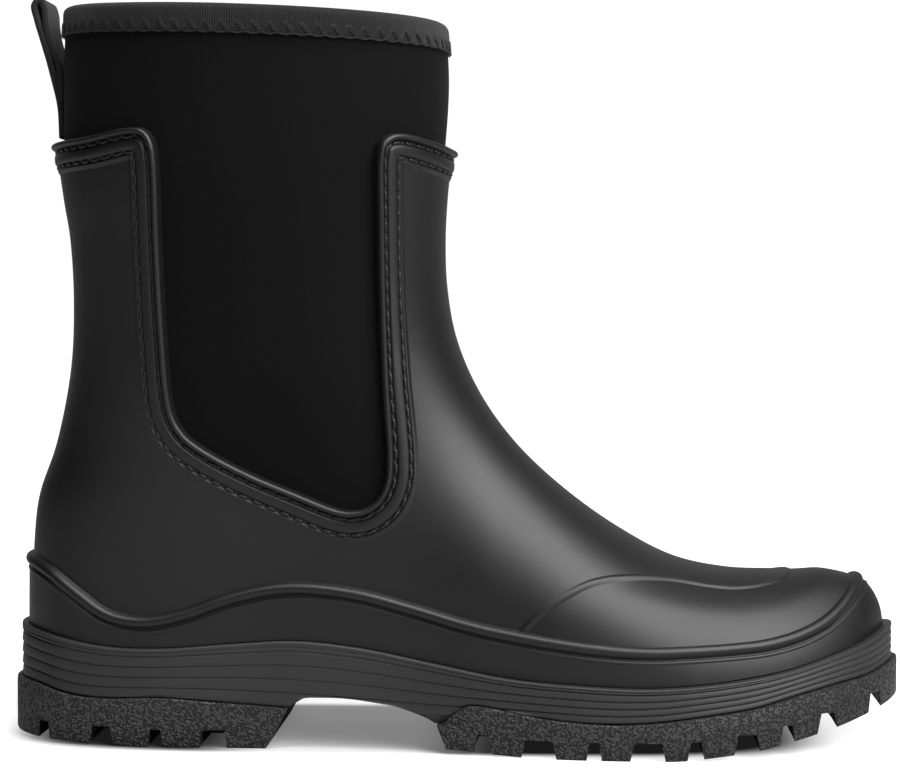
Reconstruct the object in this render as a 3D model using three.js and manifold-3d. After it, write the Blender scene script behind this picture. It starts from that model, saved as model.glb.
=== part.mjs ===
// A rubber boot for the right foot, standing on its sole. Millimetres.
// +X points to the toe, +Y to the inner side of the foot, +Z up.
import * as THREE from 'three';
import { mergeVertices } from 'three/addons/utils/BufferGeometryUtils.js';
import Module from 'manifold-3d';

// Driving sizes
const SOLE_LENGTH = 305;       // outsole, heel to toe
const SOLE_WIDTH = 110;        // outsole, across the ball
const SOLE_DEPTH = 36;         // ground to the top of the midsole at the waist
const ANKLE_HEIGHT = 100;      // ground to the bend above the instep
const BOOT_HEIGHT = 250;       // ground to the collar at the back
const SHAFT_WIDTH = 104;       // shell form at the collar, side to side
const UPPER_WIDTH = 96;        // shell form across the ball, above the sole

// Walls and steps
const SHELL_WALL = 2.2;
const FOXING_STEP = 1.5;       // foxing band, proud of the shell
const BEAD_STEP = 2.4;         // rounded bead above the band
const BEAD_HEIGHT = 5;
const TOE_STEP = 0.8;          // overlay round the toe
const TRIM_STEP = 1.2;         // raised trim along every cut edge of the shell
const TRIM_WIDTH = 8;
const PIPING_STEP = 2.2;       // rounded rim on the edge itself
const PIPING_WIDTH = 2.2;
const SHAFT_WALL = 3.6;
const BINDING_WALL = 1.1;
const BINDING_HEIGHT = 8.4;
const INSOLE_THICKNESS = 4;
const FIT = 0.3;               // clearance between pieces that touch

// Sole
const MIDSOLE_INSET = 1.8;     // behind the edge of the outsole
const RIB_COUNT = 4;
const RIB_GROOVE = 0.9;        // depth of the grooves between the ribs
const LIP_SHARE = 0.12;        // top lip, as a share of the midsole's height
const LUG_REACH = 17;          // how far a lug gap runs in from the edge
const LUG_DEPTH = 6;           // height of a gap at the edge of the sole
const TREAD_DEPTH = 3;         // height of the grooves across the middle
const SOLE_FLARE = 0.6;        // how far the outsole's top edge stands back

// Pull loop
const LOOP_WIDTH = 19;
const WEBBING = 1.5;           // thickness of the webbing

// How finely the round forms are divided: the outside of the shell, and all that lies inside it
const OUTSIDE = { around: 40, rows: 26 };
const INSIDE = { around: 28, rows: 19 };
const SOLE_AROUND = 48;
const GRID = 0.01;             // all vertices lie on this grid
const PROFILE_OVERLAP = 8;     // how far each stretch of the front profile is read past its end

// Rings of the shell form, from below the sole line to above the collar.
// back and front: where the ring meets the heel profile and the toe, instep and shin profile,
// as [share of SOLE_LENGTH from the heel, height share]. See lift for the height share.
const RINGS = [
  { back: [0.02, 0.05], front: [0.979, 0.05] },
  { back: [0.0198, 0.09], front: [0.98, 0.2] },
  { back: [0.0196, 0.13], front: [0.98, 0.33] },
  { back: [0.0195, 0.17], front: [0.9745, 0.45] },
  { back: [0.0194, 0.21], front: [0.957, 0.524] },
  { back: [0.0191, 0.25], front: [0.9225, 0.557] },
  { back: [0.0188, 0.29], front: [0.868, 0.564] },
  { back: [0.0186, 0.34], front: [0.808, 0.57] },
  { back: [0.0184, 0.41], front: [0.748, 0.609] },
  { back: [0.0188, 0.52], front: [0.6885, 0.703] },
  { back: [0.0198, 0.66], front: [0.6235, 0.845] },
  { back: [0.0262, 0.82], front: [0.568, 1.0037] },
  { back: [0.0465, 1.0], front: [0.5279, 1.118] },
  { back: [0.0637, 1.17], front: [0.502, 1.24] },
  { back: [0.0678, 1.32], front: [0.4912, 1.36] },
  { back: [0.0646, 1.4667], front: [0.4893, 1.4667] },
  { back: [0.0575, 1.56], front: [0.4915, 1.56] },
  { back: [0.0512, 1.6667], front: [0.4965, 1.6667] },
  { back: [0.0508, 1.8333], front: [0.5012, 1.8333] },
  { back: [0.055, 2.05], front: [0.4938, 2.05] },
];

// Half width of the shaft at height shares, as a share of half SHAFT_WIDTH.
const SHAFT_GIRTH = [
  [0, 0.7], [0.6, 0.72], [1, 0.76], [1.333, 0.84], [1.667, 0.935], [2.05, 1],
];

// Outline of the outsole seen from above: [share of length from the heel, share of width].
// The outer side of the foot is negative.
const OUTLINE = [
  [0, 0], [0.018, -0.17], [0.068, -0.283], [0.156, -0.327], [0.303, -0.332], [0.45, -0.37],
  [0.55, -0.425], [0.65, -0.468], [0.75, -0.472], [0.82, -0.437], [0.88, -0.373], [0.93, -0.282],
  [0.97, -0.164], [1, 0.045], [0.985, 0.2], [0.952, 0.336], [0.893, 0.445], [0.811, 0.509],
  [0.73, 0.528], [0.648, 0.5], [0.566, 0.432], [0.467, 0.345], [0.352, 0.305], [0.238, 0.314],
  [0.139, 0.327], [0.061, 0.282], [0.018, 0.17],
];

// Lines of the sole seen from the side: [share of length, share of SOLE_DEPTH].
const MIDSOLE_TOP = [
  [0, 1.08], [0.05, 1.01], [0.12, 0.92], [0.18, 0.91], [0.26, 0.96], [0.33, 0.995], [0.4, 0.945],
  [0.48, 0.825], [0.565, 0.705], [0.64, 0.66], [0.71, 0.64], [0.77, 0.665], [0.815, 0.705],
  [0.865, 0.77], [0.915, 0.875], [0.955, 0.965], [1, 1.1],
];
const MIDSOLE_BOTTOM = [
  [0, 0.56], [0.04, 0.545], [0.065, 0.495], [0.09, 0.46], [0.12, 0.447], [0.18, 0.465],
  [0.25, 0.425], [0.31, 0.39], [0.323, 0.385], [0.338, 0.465], [0.36, 0.478], [0.385, 0.477],
  [0.415, 0.45], [0.447, 0.405], [0.475, 0.325], [0.49, 0.27], [0.503, 0.36], [0.52, 0.455],
  [0.54, 0.455], [0.57, 0.414], [0.608, 0.364], [0.67, 0.33], [0.72, 0.347], [0.78, 0.408],
  [0.83, 0.467], [0.875, 0.56], [0.925, 0.64], [0.96, 0.68], [1, 0.77],
];
const TREAD = [
  [0, 0.045], [0.03, 0.036], [0.08, 0.03], [0.125, 0.016], [0.17, 0], [0.31, 0], [0.5, 0.045],
  [0.53, 0.035], [0.56, 0.015], [0.6, 0], [0.74, 0], [0.79, 0.035], [0.84, 0.09], [0.88, 0.16],
  [0.92, 0.235], [0.96, 0.32], [1, 0.4],
];
// Where the heel block ends and the forefoot block begins: share of length at the top and bottom.
const HEEL_BREAST = { top: 0.324, bottom: 0.299 };
const FOREFOOT_START = { top: 0.488, bottom: 0.497 };
// Lug gaps: share of length of the middle, and widths at the ground and at the top.
const LUG_GAPS = [
  { middle: 0.048, ground: 4.5, top: 3.5 }, { middle: 0.116, ground: 8.5, top: 6 },
  { middle: 0.177, ground: 5.5, top: 3.5 }, { middle: 0.241, ground: 9.5, top: 7.5 },
  { middle: 0.538, ground: 6, top: 3.7 }, { middle: 0.598, ground: 11.5, top: 9 },
  { middle: 0.657, ground: 5, top: 3 }, { middle: 0.714, ground: 11.5, top: 8.8 },
  { middle: 0.765, ground: 5.5, top: 3.4 }, { middle: 0.82, ground: 8.5, top: 6.2 },
  { middle: 0.864, ground: 5, top: 3.2 }, { middle: 0.909, ground: 7, top: 4.5 },
  { middle: 0.966, ground: 5, top: 3.5 },
];

// Lines on the shell seen from the side: [share of length, height share].
const BEAD_LINE = [
  [-0.05, 0.64], [0.02, 0.625], [0.053, 0.593], [0.088, 0.523], [0.125, 0.452], [0.162, 0.434],
  [0.204, 0.458], [0.253, 0.511], [0.306, 0.548], [0.345, 0.553], [0.402, 0.533], [0.462, 0.488],
  [0.524, 0.438], [0.597, 0.398], [0.666, 0.371], [0.713, 0.361], [0.759, 0.362], [0.805, 0.367],
  [0.841, 0.376], [0.877, 0.4], [0.906, 0.436], [0.927, 0.481], [0.94, 0.519], [0.955, 0.56],
  [1.02, 0.66],
];
const TOE_LINE = [
  [0.56, 0.3], [0.577, 0.395], [0.604, 0.479], [0.643, 0.55], [0.667, 0.571], [0.702, 0.575],
  [0.736, 0.565], [0.785, 0.538], [0.815, 0.53], [0.844, 0.537], [0.867, 0.552], [0.88, 0.57],
  [0.887, 0.59], [0.89, 0.64],
];
// The cut edge of the shell: back rim, down and up round the side opening, front rim.
const SHELL_EDGE = [
  [-0.06, 1.655], [0.04, 1.682], [0.11, 1.692], [0.153, 1.706], [0.171, 1.704], [0.18, 1.69],
  [0.1855, 1.665], [0.188, 1.62], [0.189, 1.44], [0.192, 1.26], [0.197, 1.117], [0.202, 1.07],
  [0.213, 1.033], [0.23, 1.005], [0.279, 0.925], [0.335, 0.852], [0.379, 0.8], [0.393, 0.795],
  [0.407, 0.803], [0.4215, 0.836], [0.43, 0.895], [0.4315, 0.963], [0.426, 1.153], [0.4226, 1.33],
  [0.4216, 1.55], [0.422, 1.638], [0.4253, 1.672], [0.435, 1.691], [0.446, 1.696], [0.479, 1.683],
  [0.506, 1.664], [0.6, 1.6],
];
// Top of the collar seen from the side.
const COLLAR_LINE = [[-0.05, 2.005], [0.05, 1.995], [0.15, 1.982], [0.27, 1.972], [0.4, 1.962], [0.5, 1.957],
  [0.6, 1.952]];
const SHAFT_FOOT = 0.66;       // height share where the shaft ends inside the shell

// Pull loop seen from the side, outside of the webbing, from the shell's rim up and over.
const LOOP_OUTER = [
  [0.0532, 1.7], [0.0518, 1.77], [0.0478, 1.82], [0.042, 1.87], [0.034, 1.925], [0.0275, 1.97],
  [0.0245, 2.003], [0.0305, 2.019], [0.041, 2.014], [0.0487, 1.985], [0.0518, 1.94], [0.0525, 1.9],
];

// Meeting of the two kinds of section: upright ones over the forefoot, level ones in the shaft,
// and between them sections that turn about this point in front of the instep.
const BEND = { along: 0.779, up: 1.2667 };
const TOE_FLOOR = 0.2;         // height share where the arch over the toes starts
const SQUARENESS = 2.2;        // 2 is an ellipse
const FOOT_TOP = 0.45;         // height share where the foot's plan starts to turn into the shaft's
const SHAFT_START = 1.2;       // height share where it is the shaft's

const wasm = await Module();
wasm.setup();

const mix = (a, b, share) => a + (b - a) * share;
const clamp = (value) => Math.min(Math.max(value, 0), 1);
const ease = (value) => clamp(value) ** 2 * (3 - 2 * clamp(value));
const along = (share) => (share - 0.5) * SOLE_LENGTH;

// Height shares run from 0 at the ground to 1 at the ankle and 2 at the collar.
function lift(share) {
  if (share <= 1) return share * ANKLE_HEIGHT;
  return mix(ANKLE_HEIGHT, BOOT_HEIGHT, share - 1);
}

// A smooth line through points [a, b].
function smoothLine(points, stepsPerSpan) {
  const curve = new THREE.CatmullRomCurve3(points.map(([a, b]) => new THREE.Vector3(a, b, 0)));
  return curve.getPoints(stepsPerSpan * (points.length - 1)).map((point) => [point.x, point.y]);
}

// Reads b at a from pairs [a, b], sorted by a.
function reader(pairs) {
  const sorted = [...pairs].sort((first, second) => first[0] - second[0]);
  return (value) => {
    let index = sorted.findIndex(([a]) => a > value);
    if (index < 0) index = sorted.length - 1;
    const [a, b] = sorted[Math.max(index - 1, 0)];
    const [nextA, nextB] = sorted[Math.max(index, 1)];
    const share = nextA === a ? 0 : clamp((value - a) / (nextA - a));
    return mix(b, nextB, share);
  };
}

// Placed lines: shares to millimetres.
const onShell = (points) => points.map(([a, up]) => [along(a), lift(up)]);
const onSole = (points) => points.map(([a, depth]) => [along(a), depth * SOLE_DEPTH]);
const soleReader = (points) => reader(smoothLine(onSole(points), 6));

const midsoleTop = soleReader(MIDSOLE_TOP);
const midsoleBottom = soleReader(MIDSOLE_BOTTOM);
const treadLine = soleReader(TREAD);
const tread = (x) => Math.max(treadLine(x), 0);

// The outline of the sole as two readers, from share of length to share of width.
function outlineReaders() {
  const points = OUTLINE.map(([a, across]) => new THREE.Vector3(a, across, 0));
  const curve = new THREE.CatmullRomCurve3(points, true);
  const line = curve.getPoints(OUTLINE.length * 16).map((point) => [point.x, point.y]);
  const tip = line.reduce((best, point, index) => (point[0] > line[best][0] ? index : best), 0);
  const heel = line.reduce((best, point, index) => (point[0] < line[best][0] ? index : best), 0);
  const start = line[heel][0];
  const span = line[tip][0] - start;
  const shares = line.map(([a, across]) => [(a - start) / span, across]);
  const outer = [...shares.slice(heel > tip ? heel : 0), ...shares.slice(0, tip + 1)]
    .filter(([, across], index, all) => index >= all.length - tip - 1 || across < 0);
  const inner = shares.slice(tip, heel > tip ? heel + 1 : shares.length);
  return { outer: reader(outer), inner: reader(inner) };
}
const outline = outlineReaders();

// The form of the shell
const backLine = new THREE.CatmullRomCurve3(RINGS.map(({ back }) => placed(back)));
const frontLine = new THREE.CatmullRomCurve3(RINGS.map(({ front }) => placed(front)));
function placed([a, up]) {
  return new THREE.Vector3(along(a), 0, lift(up));
}

const frontPoints = frontLine.getPoints(400);
const tip = Math.max(...frontPoints.map((point) => point.x));
const bend = { x: along(BEND.along), z: lift(BEND.up) };
const backAt = reader(backLine.getPoints(200).map((point) => [point.z, point.x]));
const ridgeAt = reader(frontPoints.filter((point) => point.x >= bend.x - PROFILE_OVERLAP)
  .map((point) => [point.x, point.z]));
const shinAt = reader(frontPoints.filter((point) => point.z >= bend.z - PROFILE_OVERLAP)
  .map((point) => [point.z, point.x]));
const instepAt = reader(frontPoints
  .filter((point) => point.x < bend.x + PROFILE_OVERLAP && point.z < bend.z + PROFILE_OVERLAP)
  .map((point) => [turnAt(point.x, point.z), Math.hypot(bend.x - point.x, bend.z - point.z)]));
const girthAt = reader(smoothLine(SHAFT_GIRTH.map(([up, share]) => [lift(up), share * SHAFT_WIDTH / 2]), 8));

// Angle about the bend: 0 straight down, a quarter turn straight back.
function turnAt(x, z) {
  return Math.atan2(bend.x - x, bend.z - z);
}

// Round closing towards a profile: 0 on it, 1 from the depth on.
function closing(distance, depth) {
  const left = 1 - clamp(distance / depth);
  return (1 - left ** SQUARENESS) ** (1 / SQUARENESS);
}

// How far the form has opened below the ridge, the instep and the shin.
function archAt(x, z) {
  const shaftDepth = (shinAt(z) - backAt(z)) / 2;
  if (x >= bend.x) return closing(ridgeAt(x) - z, ridgeAt(x) - lift(TOE_FLOOR));
  if (z >= bend.z) return closing(shinAt(z) - x, shaftDepth);
  const turn = turnAt(x, z);
  const depth = mix(ridgeAt(bend.x) - lift(TOE_FLOOR), shaftDepth, ease(turn / (Math.PI / 2)));
  return closing(Math.hypot(bend.x - x, bend.z - z) - instepAt(turn), depth);
}

// Middle and half width of the form at a place seen from the side.
function girth(x, z) {
  const heel = backAt(z);
  const share = clamp((x - heel) / (tip - heel));
  const outer = outline.outer(share) * UPPER_WIDTH;
  const inner = outline.inner(share) * UPPER_WIDTH;
  const shaft = girthAt(z) * closing(x - heel, (shinAt(Math.max(z, bend.z)) - heel) / 2);
  const rise = ease((z - lift(FOOT_TOP)) / (lift(SHAFT_START) - lift(FOOT_TOP)));
  const middle = mix((outer + inner) / 2, 0, rise);
  const half = mix((inner - outer) / 2, shaft, rise);
  return { middle, half: half * archAt(x, z) };
}

// A point of the form: level runs 0 to 1 from below the sole line to above the collar,
// turn runs from the front by the outer side and the back to the front again.
function formPoint(level, turn) {
  const back = backLine.getPoint(level);
  const front = frontLine.getPoint(level);
  const share = (1 + Math.cos(turn)) / 2;
  const x = mix(back.x, front.x, share);
  const z = mix(back.z, front.z, share);
  const { middle, half } = girth(x, z);
  const side = Math.abs(Math.sin(turn)) < 1e-9 ? 0 : -Math.sign(Math.sin(turn));
  return new THREE.Vector3(x, middle + side * half, z);
}

// The same point moved out along the form's normal.
function offsetPoint(level, turn, offset) {
  const point = formPoint(level, turn);
  if (offset === 0) return point;
  const step = 0.04;
  const rise = 0.012;
  const across = formPoint(level, turn + step).sub(formPoint(level, turn - step));
  const up = formPoint(Math.min(level + rise, 1), turn).sub(formPoint(Math.max(level - rise, 0), turn));
  return point.addScaledVector(up.cross(across).normalize(), offset);
}

// Solids
function solidOf(geometry) {
  geometry.deleteAttribute('normal');
  geometry.deleteAttribute('uv');
  const merged = mergeVertices(geometry, 1e-4);
  return new wasm.Manifold(new wasm.Mesh({
    numProp: 3,
    vertProperties: new Float32Array(merged.attributes.position.array),
    triVerts: new Uint32Array(merged.index.array),
  }));
}

// A closed solid from rings that run clockwise seen from above, lowest first. Its ends are
// strips from one side to the other, so that they may follow a line along the length.
function ringSolid(rings) {
  const count = rings[0].length;
  const positions = rings.flat().flatMap((point) => point.toArray());
  const faces = [];
  const quad = (a, b, c, d) => faces.push(a, b, c, a, c, d);
  for (let row = 0; row < rings.length - 1; row += 1) {
    for (let i = 0; i < count; i += 1) {
      const next = (i + 1) % count;
      const low = row * count;
      const high = low + count;
      // The rings lean back as they rise, so each side is split along its own short diagonals.
      if (i < count / 2) quad(high + i, high + next, low + next, low + i);
      else quad(low + i, high + i, high + next, low + next);
    }
  }
  const top = (rings.length - 1) * count;
  for (let i = 0; i < count / 2; i += 1) {
    const other = (count - i) % count;
    const before = count - i - 1;
    quad(i, i + 1, before, other);
    quad(top + other, top + before, top + i + 1, top + i);
  }
  const geometry = new THREE.BufferGeometry();
  geometry.setAttribute('position', new THREE.Float32BufferAttribute(positions, 3));
  geometry.setIndex(wholeFaces(faces));
  return solidOf(geometry);
}

// The shell form grown or shrunk by an offset.
function form(offset) {
  const { around, rows } = offset < 0 ? INSIDE : OUTSIDE;
  const rings = Array.from({ length: rows + 1 }, (_, row) => Array.from({ length: around },
    (__, i) => offsetPoint(row / rows, (i / around) * 2 * Math.PI, offset)));
  return ringSolid(rings);
}

// A prism across the boot from an outline seen from the side.
function prism(points) {
  const width = SOLE_WIDTH * 2;
  const shape = new THREE.Shape(points.map(([x, z]) => new THREE.Vector2(x, z)));
  const geometry = new THREE.ExtrudeGeometry(shape, { depth: width, bevelEnabled: false });
  geometry.rotateX(Math.PI / 2).translate(0, width / 2, 0);
  return solidOf(geometry);
}

const far = SOLE_LENGTH;
const floor = -SOLE_DEPTH;
const sky = BOOT_HEIGHT * 1.5;
// Everything below or above a line that runs from the heel to the toe.
const below = (line) => prism([[-far, floor], ...reach(line), [far, floor]]);
const above = (line) => prism([[-far, sky], ...reach(line), [far, sky]]);
const raised = (line, height) => line.map(([x, z]) => [x, z + height]);
function reach(line) {
  return [[-far, line[0][1]], ...line, [far, line[line.length - 1][1]]];
}

// A line moved to its right by a distance, without the loops that tight corners would make.
function inward(line, distance) {
  const moved = line.map(([x, z], index) => {
    const before = line[Math.max(index - 1, 0)];
    const after = line[Math.min(index + 1, line.length - 1)];
    const length = Math.hypot(after[0] - before[0], after[1] - before[1]);
    const normal = [(after[1] - before[1]) / length, (before[0] - after[0]) / length];
    return [x + normal[0] * distance, z + normal[1] * distance];
  });
  return moved.filter(([x, z]) => line.every(([a, b]) => Math.hypot(x - a, z - b) > distance * 0.98));
}

// Lines of the shell
const shellEdge = smoothLine(onShell(SHELL_EDGE), 2);
const beadTop = smoothLine(onShell(BEAD_LINE), 1);
const toeLine = smoothLine(onShell(TOE_LINE), 2);
const collarLine = smoothLine(onShell(COLLAR_LINE), 2);
const soleTopLine = smoothLine(onSole(MIDSOLE_TOP), 2);

// Materials
const material = (color, roughness) => new THREE.MeshStandardMaterial({ color, roughness, metalness: 0 });
const materials = {
  rubber: material(0x1b1c1e, 0.42),
  neoprene: material(0x18191a, 0.9),
  binding: material(0x141415, 0.85),
  webbing: material(0x171718, 0.8),
  sole: material(0x1a1a1b, 0.62),
  insole: material(0x2a2b2d, 0.95),
};

// The faces of a triangle list whose three corners are three different vertices.
function wholeFaces(corners) {
  return corners.filter((_, index) => {
    const first = index - (index % 3);
    return new Set(corners.slice(first, first + 3)).size === 3;
  });
}

// A piece's mesh, with its vertices moved to a fine grid so that those that nearly meet are one.
function mesh(name, solid, look) {
  const { vertProperties, triVerts } = solid.getMesh();
  const onGrid = Array.from(vertProperties, (value) => Math.round(value / GRID) * GRID);
  const loose = new THREE.BufferGeometry();
  loose.setAttribute('position', new THREE.Float32BufferAttribute(onGrid, 3));
  loose.setIndex([...triVerts]);
  const geometry = mergeVertices(loose, GRID / 10);
  geometry.setIndex(wholeFaces([...geometry.index.array]));
  geometry.computeVertexNormals();
  const piece = new THREE.Mesh(geometry, look);
  piece.name = name;
  return piece;
}

// The rubber shell: its own wall, and the steps of the foxing, bead, toe overlay and trim.
function upper() {
  const shell = below(shellEdge);
  const toe = form(TOE_STEP).intersect(prism([...toeLine, [far, lift(1)], [far, floor], [toeLine[0][0], floor]]));
  const foxing = form(FOXING_STEP).intersect(below(raised(beadTop, -BEAD_HEIGHT / 2)));
  const bead = form(BEAD_STEP).intersect(below(beadTop)).subtract(below(raised(beadTop, -BEAD_HEIGHT)));
  const trim = form(TRIM_STEP).subtract(below(inward(shellEdge, TRIM_WIDTH)));
  const piping = form(PIPING_STEP).subtract(below(inward(shellEdge, PIPING_WIDTH)));
  return form(0).add(toe).add(foxing).add(bead).add(trim).add(piping)
    .intersect(shell)
    .subtract(form(-SHELL_WALL))
    .intersect(above(raised(soleTopLine, FIT)));
}

// The inner tube, from inside the shell up to the binding.
const SHAFT_OUTSIDE = -SHELL_WALL - FIT;
const SHAFT_INSIDE = SHAFT_OUTSIDE - SHAFT_WALL;
function shaft() {
  const foot = lift(SHAFT_FOOT);
  return form(SHAFT_OUTSIDE).subtract(form(SHAFT_INSIDE))
    .intersect(below(raised(collarLine, -BINDING_WALL - FIT)))
    .intersect(above([[-far / 2, foot], [far / 2, foot]]));
}

// The binding folds over the top edge of the tube.
function collarBinding() {
  const band = below(collarLine).subtract(below(raised(collarLine, -BINDING_HEIGHT)));
  const folded = form(SHAFT_OUTSIDE + FIT + BINDING_WALL).subtract(form(SHAFT_INSIDE - FIT - BINDING_WALL))
    .intersect(band);
  const slot = form(SHAFT_OUTSIDE + FIT).subtract(form(SHAFT_INSIDE - FIT))
    .intersect(below(raised(collarLine, -BINDING_WALL)));
  return folded.subtract(slot);
}

// The webbing runs up the back of the tube from the shell's rim, stands off as a loop and
// comes back down on the binding.
function pullLoop() {
  const outer = smoothLine(onShell(LOOP_OUTER), 4);
  const inner = inward(outer, WEBBING).reverse();
  const width = LOOP_WIDTH;
  const shape = new THREE.Shape([...outer, ...inner].map(([x, z]) => new THREE.Vector2(x, z)));
  const strip = new THREE.ExtrudeGeometry(shape, { depth: width, bevelEnabled: false });
  strip.rotateX(Math.PI / 2).translate(0, width / 2, 0);
  return solidOf(strip)
    .subtract(form(SHAFT_OUTSIDE + FIT).intersect(below(raised(collarLine, -BINDING_HEIGHT + FIT))))
    .subtract(form(SHAFT_OUTSIDE + 2 * FIT + BINDING_WALL)
      .intersect(above(raised(collarLine, -BINDING_HEIGHT - FIT))));
}

// A ring of the sole's outline at an inset, at heights given by the place along the length.
function soleRing(inset, heightAt) {
  const width = SOLE_WIDTH - 2 * inset;
  return Array.from({ length: SOLE_AROUND }, (_, i) => {
    const turn = (i / SOLE_AROUND) * 2 * Math.PI;
    const share = (1 + Math.cos(turn)) / 2;
    const x = mix(along(0) + inset, along(1) - inset, share);
    const side = turn <= Math.PI ? outline.outer : outline.inner;
    return new THREE.Vector3(x, side(share) * width, heightAt(x));
  });
}

// Ribbed side: each rib stands between two grooves, under a plain lip.
function midsole() {
  const between = (level) => (x) => mix(midsoleBottom(x), midsoleTop(x), level);
  const ribHeight = (1 - LIP_SHARE) / RIB_COUNT;
  const rings = [soleRing(MIDSOLE_INSET + RIB_GROOVE, between(0))];
  for (let rib = 0; rib < RIB_COUNT; rib += 1) {
    const level = (share) => between((rib + share) * ribHeight);
    rings.push(soleRing(MIDSOLE_INSET, level(0.2)), soleRing(MIDSOLE_INSET, level(0.75)),
      soleRing(MIDSOLE_INSET + RIB_GROOVE, level(1)));
  }
  rings.push(soleRing(MIDSOLE_INSET, between(1 - LIP_SHARE * 0.75)), soleRing(MIDSOLE_INSET, between(1)));
  return ringSolid(rings);
}

// The whole outsole before it is parted under the arch.
function outsole() {
  const top = (x) => midsoleBottom(x) - FIT;
  return ringSolid([soleRing(0, tread), soleRing(0, (x) => mix(tread(x), top(x), 0.5)), soleRing(SOLE_FLARE, top)])
    .subtract(lugGaps());
}

// Gaps between the lugs: deep at the edge of the sole, shallow across its middle.
function lugGaps() {
  const core = ringSolid([soleRing(LUG_REACH, () => floor), soleRing(LUG_REACH, () => SOLE_DEPTH)]);
  const gap = (height) => ({ middle, ground, top }) => {
    const x = along(middle);
    const z = tread(x);
    const low = ground / 2 + (ground - top) / 2;
    return prism([[x - low, z - height], [x + low, z - height], [x + top / 2, z + height],
      [x - top / 2, z + height]]);
  };
  const joined = (solids) => solids.reduce((all, solid) => all.add(solid));
  return joined(LUG_GAPS.map(gap(LUG_DEPTH))).subtract(core).add(joined(LUG_GAPS.map(gap(TREAD_DEPTH))));
}

function outsoleHeel() {
  const { top, bottom } = HEEL_BREAST;
  return outsole().intersect(prism([[-far, floor], [along(bottom) - SOLE_DEPTH * (top - bottom), floor],
    [along(bottom), 0], [along(top), SOLE_DEPTH * 0.39], [along(top), SOLE_DEPTH], [-far, SOLE_DEPTH]]));
}

function outsoleForefoot() {
  const { top, bottom } = FOREFOOT_START;
  return outsole().intersect(prism([[far, floor], [along(bottom), floor], [along(bottom), SOLE_DEPTH * 0.07],
    [along(top), SOLE_DEPTH * 0.25], [along(top), SOLE_DEPTH], [far, SOLE_DEPTH]]));
}

function insole() {
  const band = above(raised(soleTopLine, FIT)).intersect(below(raised(soleTopLine, FIT + INSOLE_THICKNESS)));
  return form(-SHELL_WALL - FIT).intersect(band);
}

const boot = new THREE.Group();
boot.add(
  mesh('upper', upper(), materials.rubber),
  mesh('shaft', shaft(), materials.neoprene),
  mesh('collar_binding', collarBinding(), materials.binding),
  mesh('pull_loop', pullLoop(), materials.webbing),
  mesh('midsole', midsole(), materials.sole),
  mesh('outsole_heel', outsoleHeel(), materials.sole),
  mesh('outsole_forefoot', outsoleForefoot(), materials.sole),
  mesh('insole', insole(), materials.insole),
);

// The origin is under the middle of the boot, on the ground.
const box = new THREE.Box3().setFromObject(boot);
boot.position.set(-(box.min.x + box.max.x) / 2, -(box.min.y + box.max.y) / 2, -box.min.z);

export default boot;
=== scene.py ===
# %% [markdown]
# A rubber boot for the right foot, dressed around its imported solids.
# The solids give the true size and shape. They come in as a fixed frame, and every piece made
# here is placed in that same frame, so nothing has to be fitted by eye.
# Each step says what the real thing is, how it could be made, and why this way was chosen.

# %% Load the frame
import math
import bpy
import bmesh
import numpy as np
from mathutils import Euler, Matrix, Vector


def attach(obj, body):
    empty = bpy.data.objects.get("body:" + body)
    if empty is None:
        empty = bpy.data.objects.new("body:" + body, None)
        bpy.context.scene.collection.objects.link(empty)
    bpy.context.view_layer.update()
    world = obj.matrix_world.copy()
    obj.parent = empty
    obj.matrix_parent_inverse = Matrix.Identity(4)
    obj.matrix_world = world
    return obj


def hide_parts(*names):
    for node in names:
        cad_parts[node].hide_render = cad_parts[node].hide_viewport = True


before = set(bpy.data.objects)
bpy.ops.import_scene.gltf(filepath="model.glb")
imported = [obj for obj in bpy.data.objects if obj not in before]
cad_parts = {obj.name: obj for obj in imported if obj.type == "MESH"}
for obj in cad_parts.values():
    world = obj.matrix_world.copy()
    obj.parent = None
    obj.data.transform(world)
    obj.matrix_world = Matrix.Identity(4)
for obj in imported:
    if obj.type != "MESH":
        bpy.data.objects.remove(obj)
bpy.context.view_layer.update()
print("nodes:", ", ".join(sorted(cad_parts)))

# %% [markdown]
# Sizes and lines.
# The boot is drawn as a maker's pattern is: an outline of the foot from above, profiles from the
# side, and lines for the bead, the toe and the cut edge. A pattern keeps every piece on the same
# form, whereas shapes pushed into place one by one would drift apart.
# Lengths are in millimetres here, and become metres only when a mesh is made.

# %% Driving sizes
SOLE_LENGTH = 305.0
SOLE_WIDTH = 110.0
SOLE_DEPTH = 36.0
ANKLE_HEIGHT = 100.0
BOOT_HEIGHT = 250.0
SHAFT_WIDTH = 104.0
UPPER_WIDTH = 96.0
SHELL_WALL = 2.2
SHAFT_WALL = 3.6
FIT = 0.3
BINDING_WALL = 1.1
FOXING_STEP = 1.5
TOE_STEP = 0.8
MIDSOLE_INSET = 1.8
LUG_REACH = 17.0
LUG_DEPTH = 6.0
TREAD_DEPTH = 3.0
LOOP_WIDTH = 19.0
WEBBING = 2.0
METRES = 0.001

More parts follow.
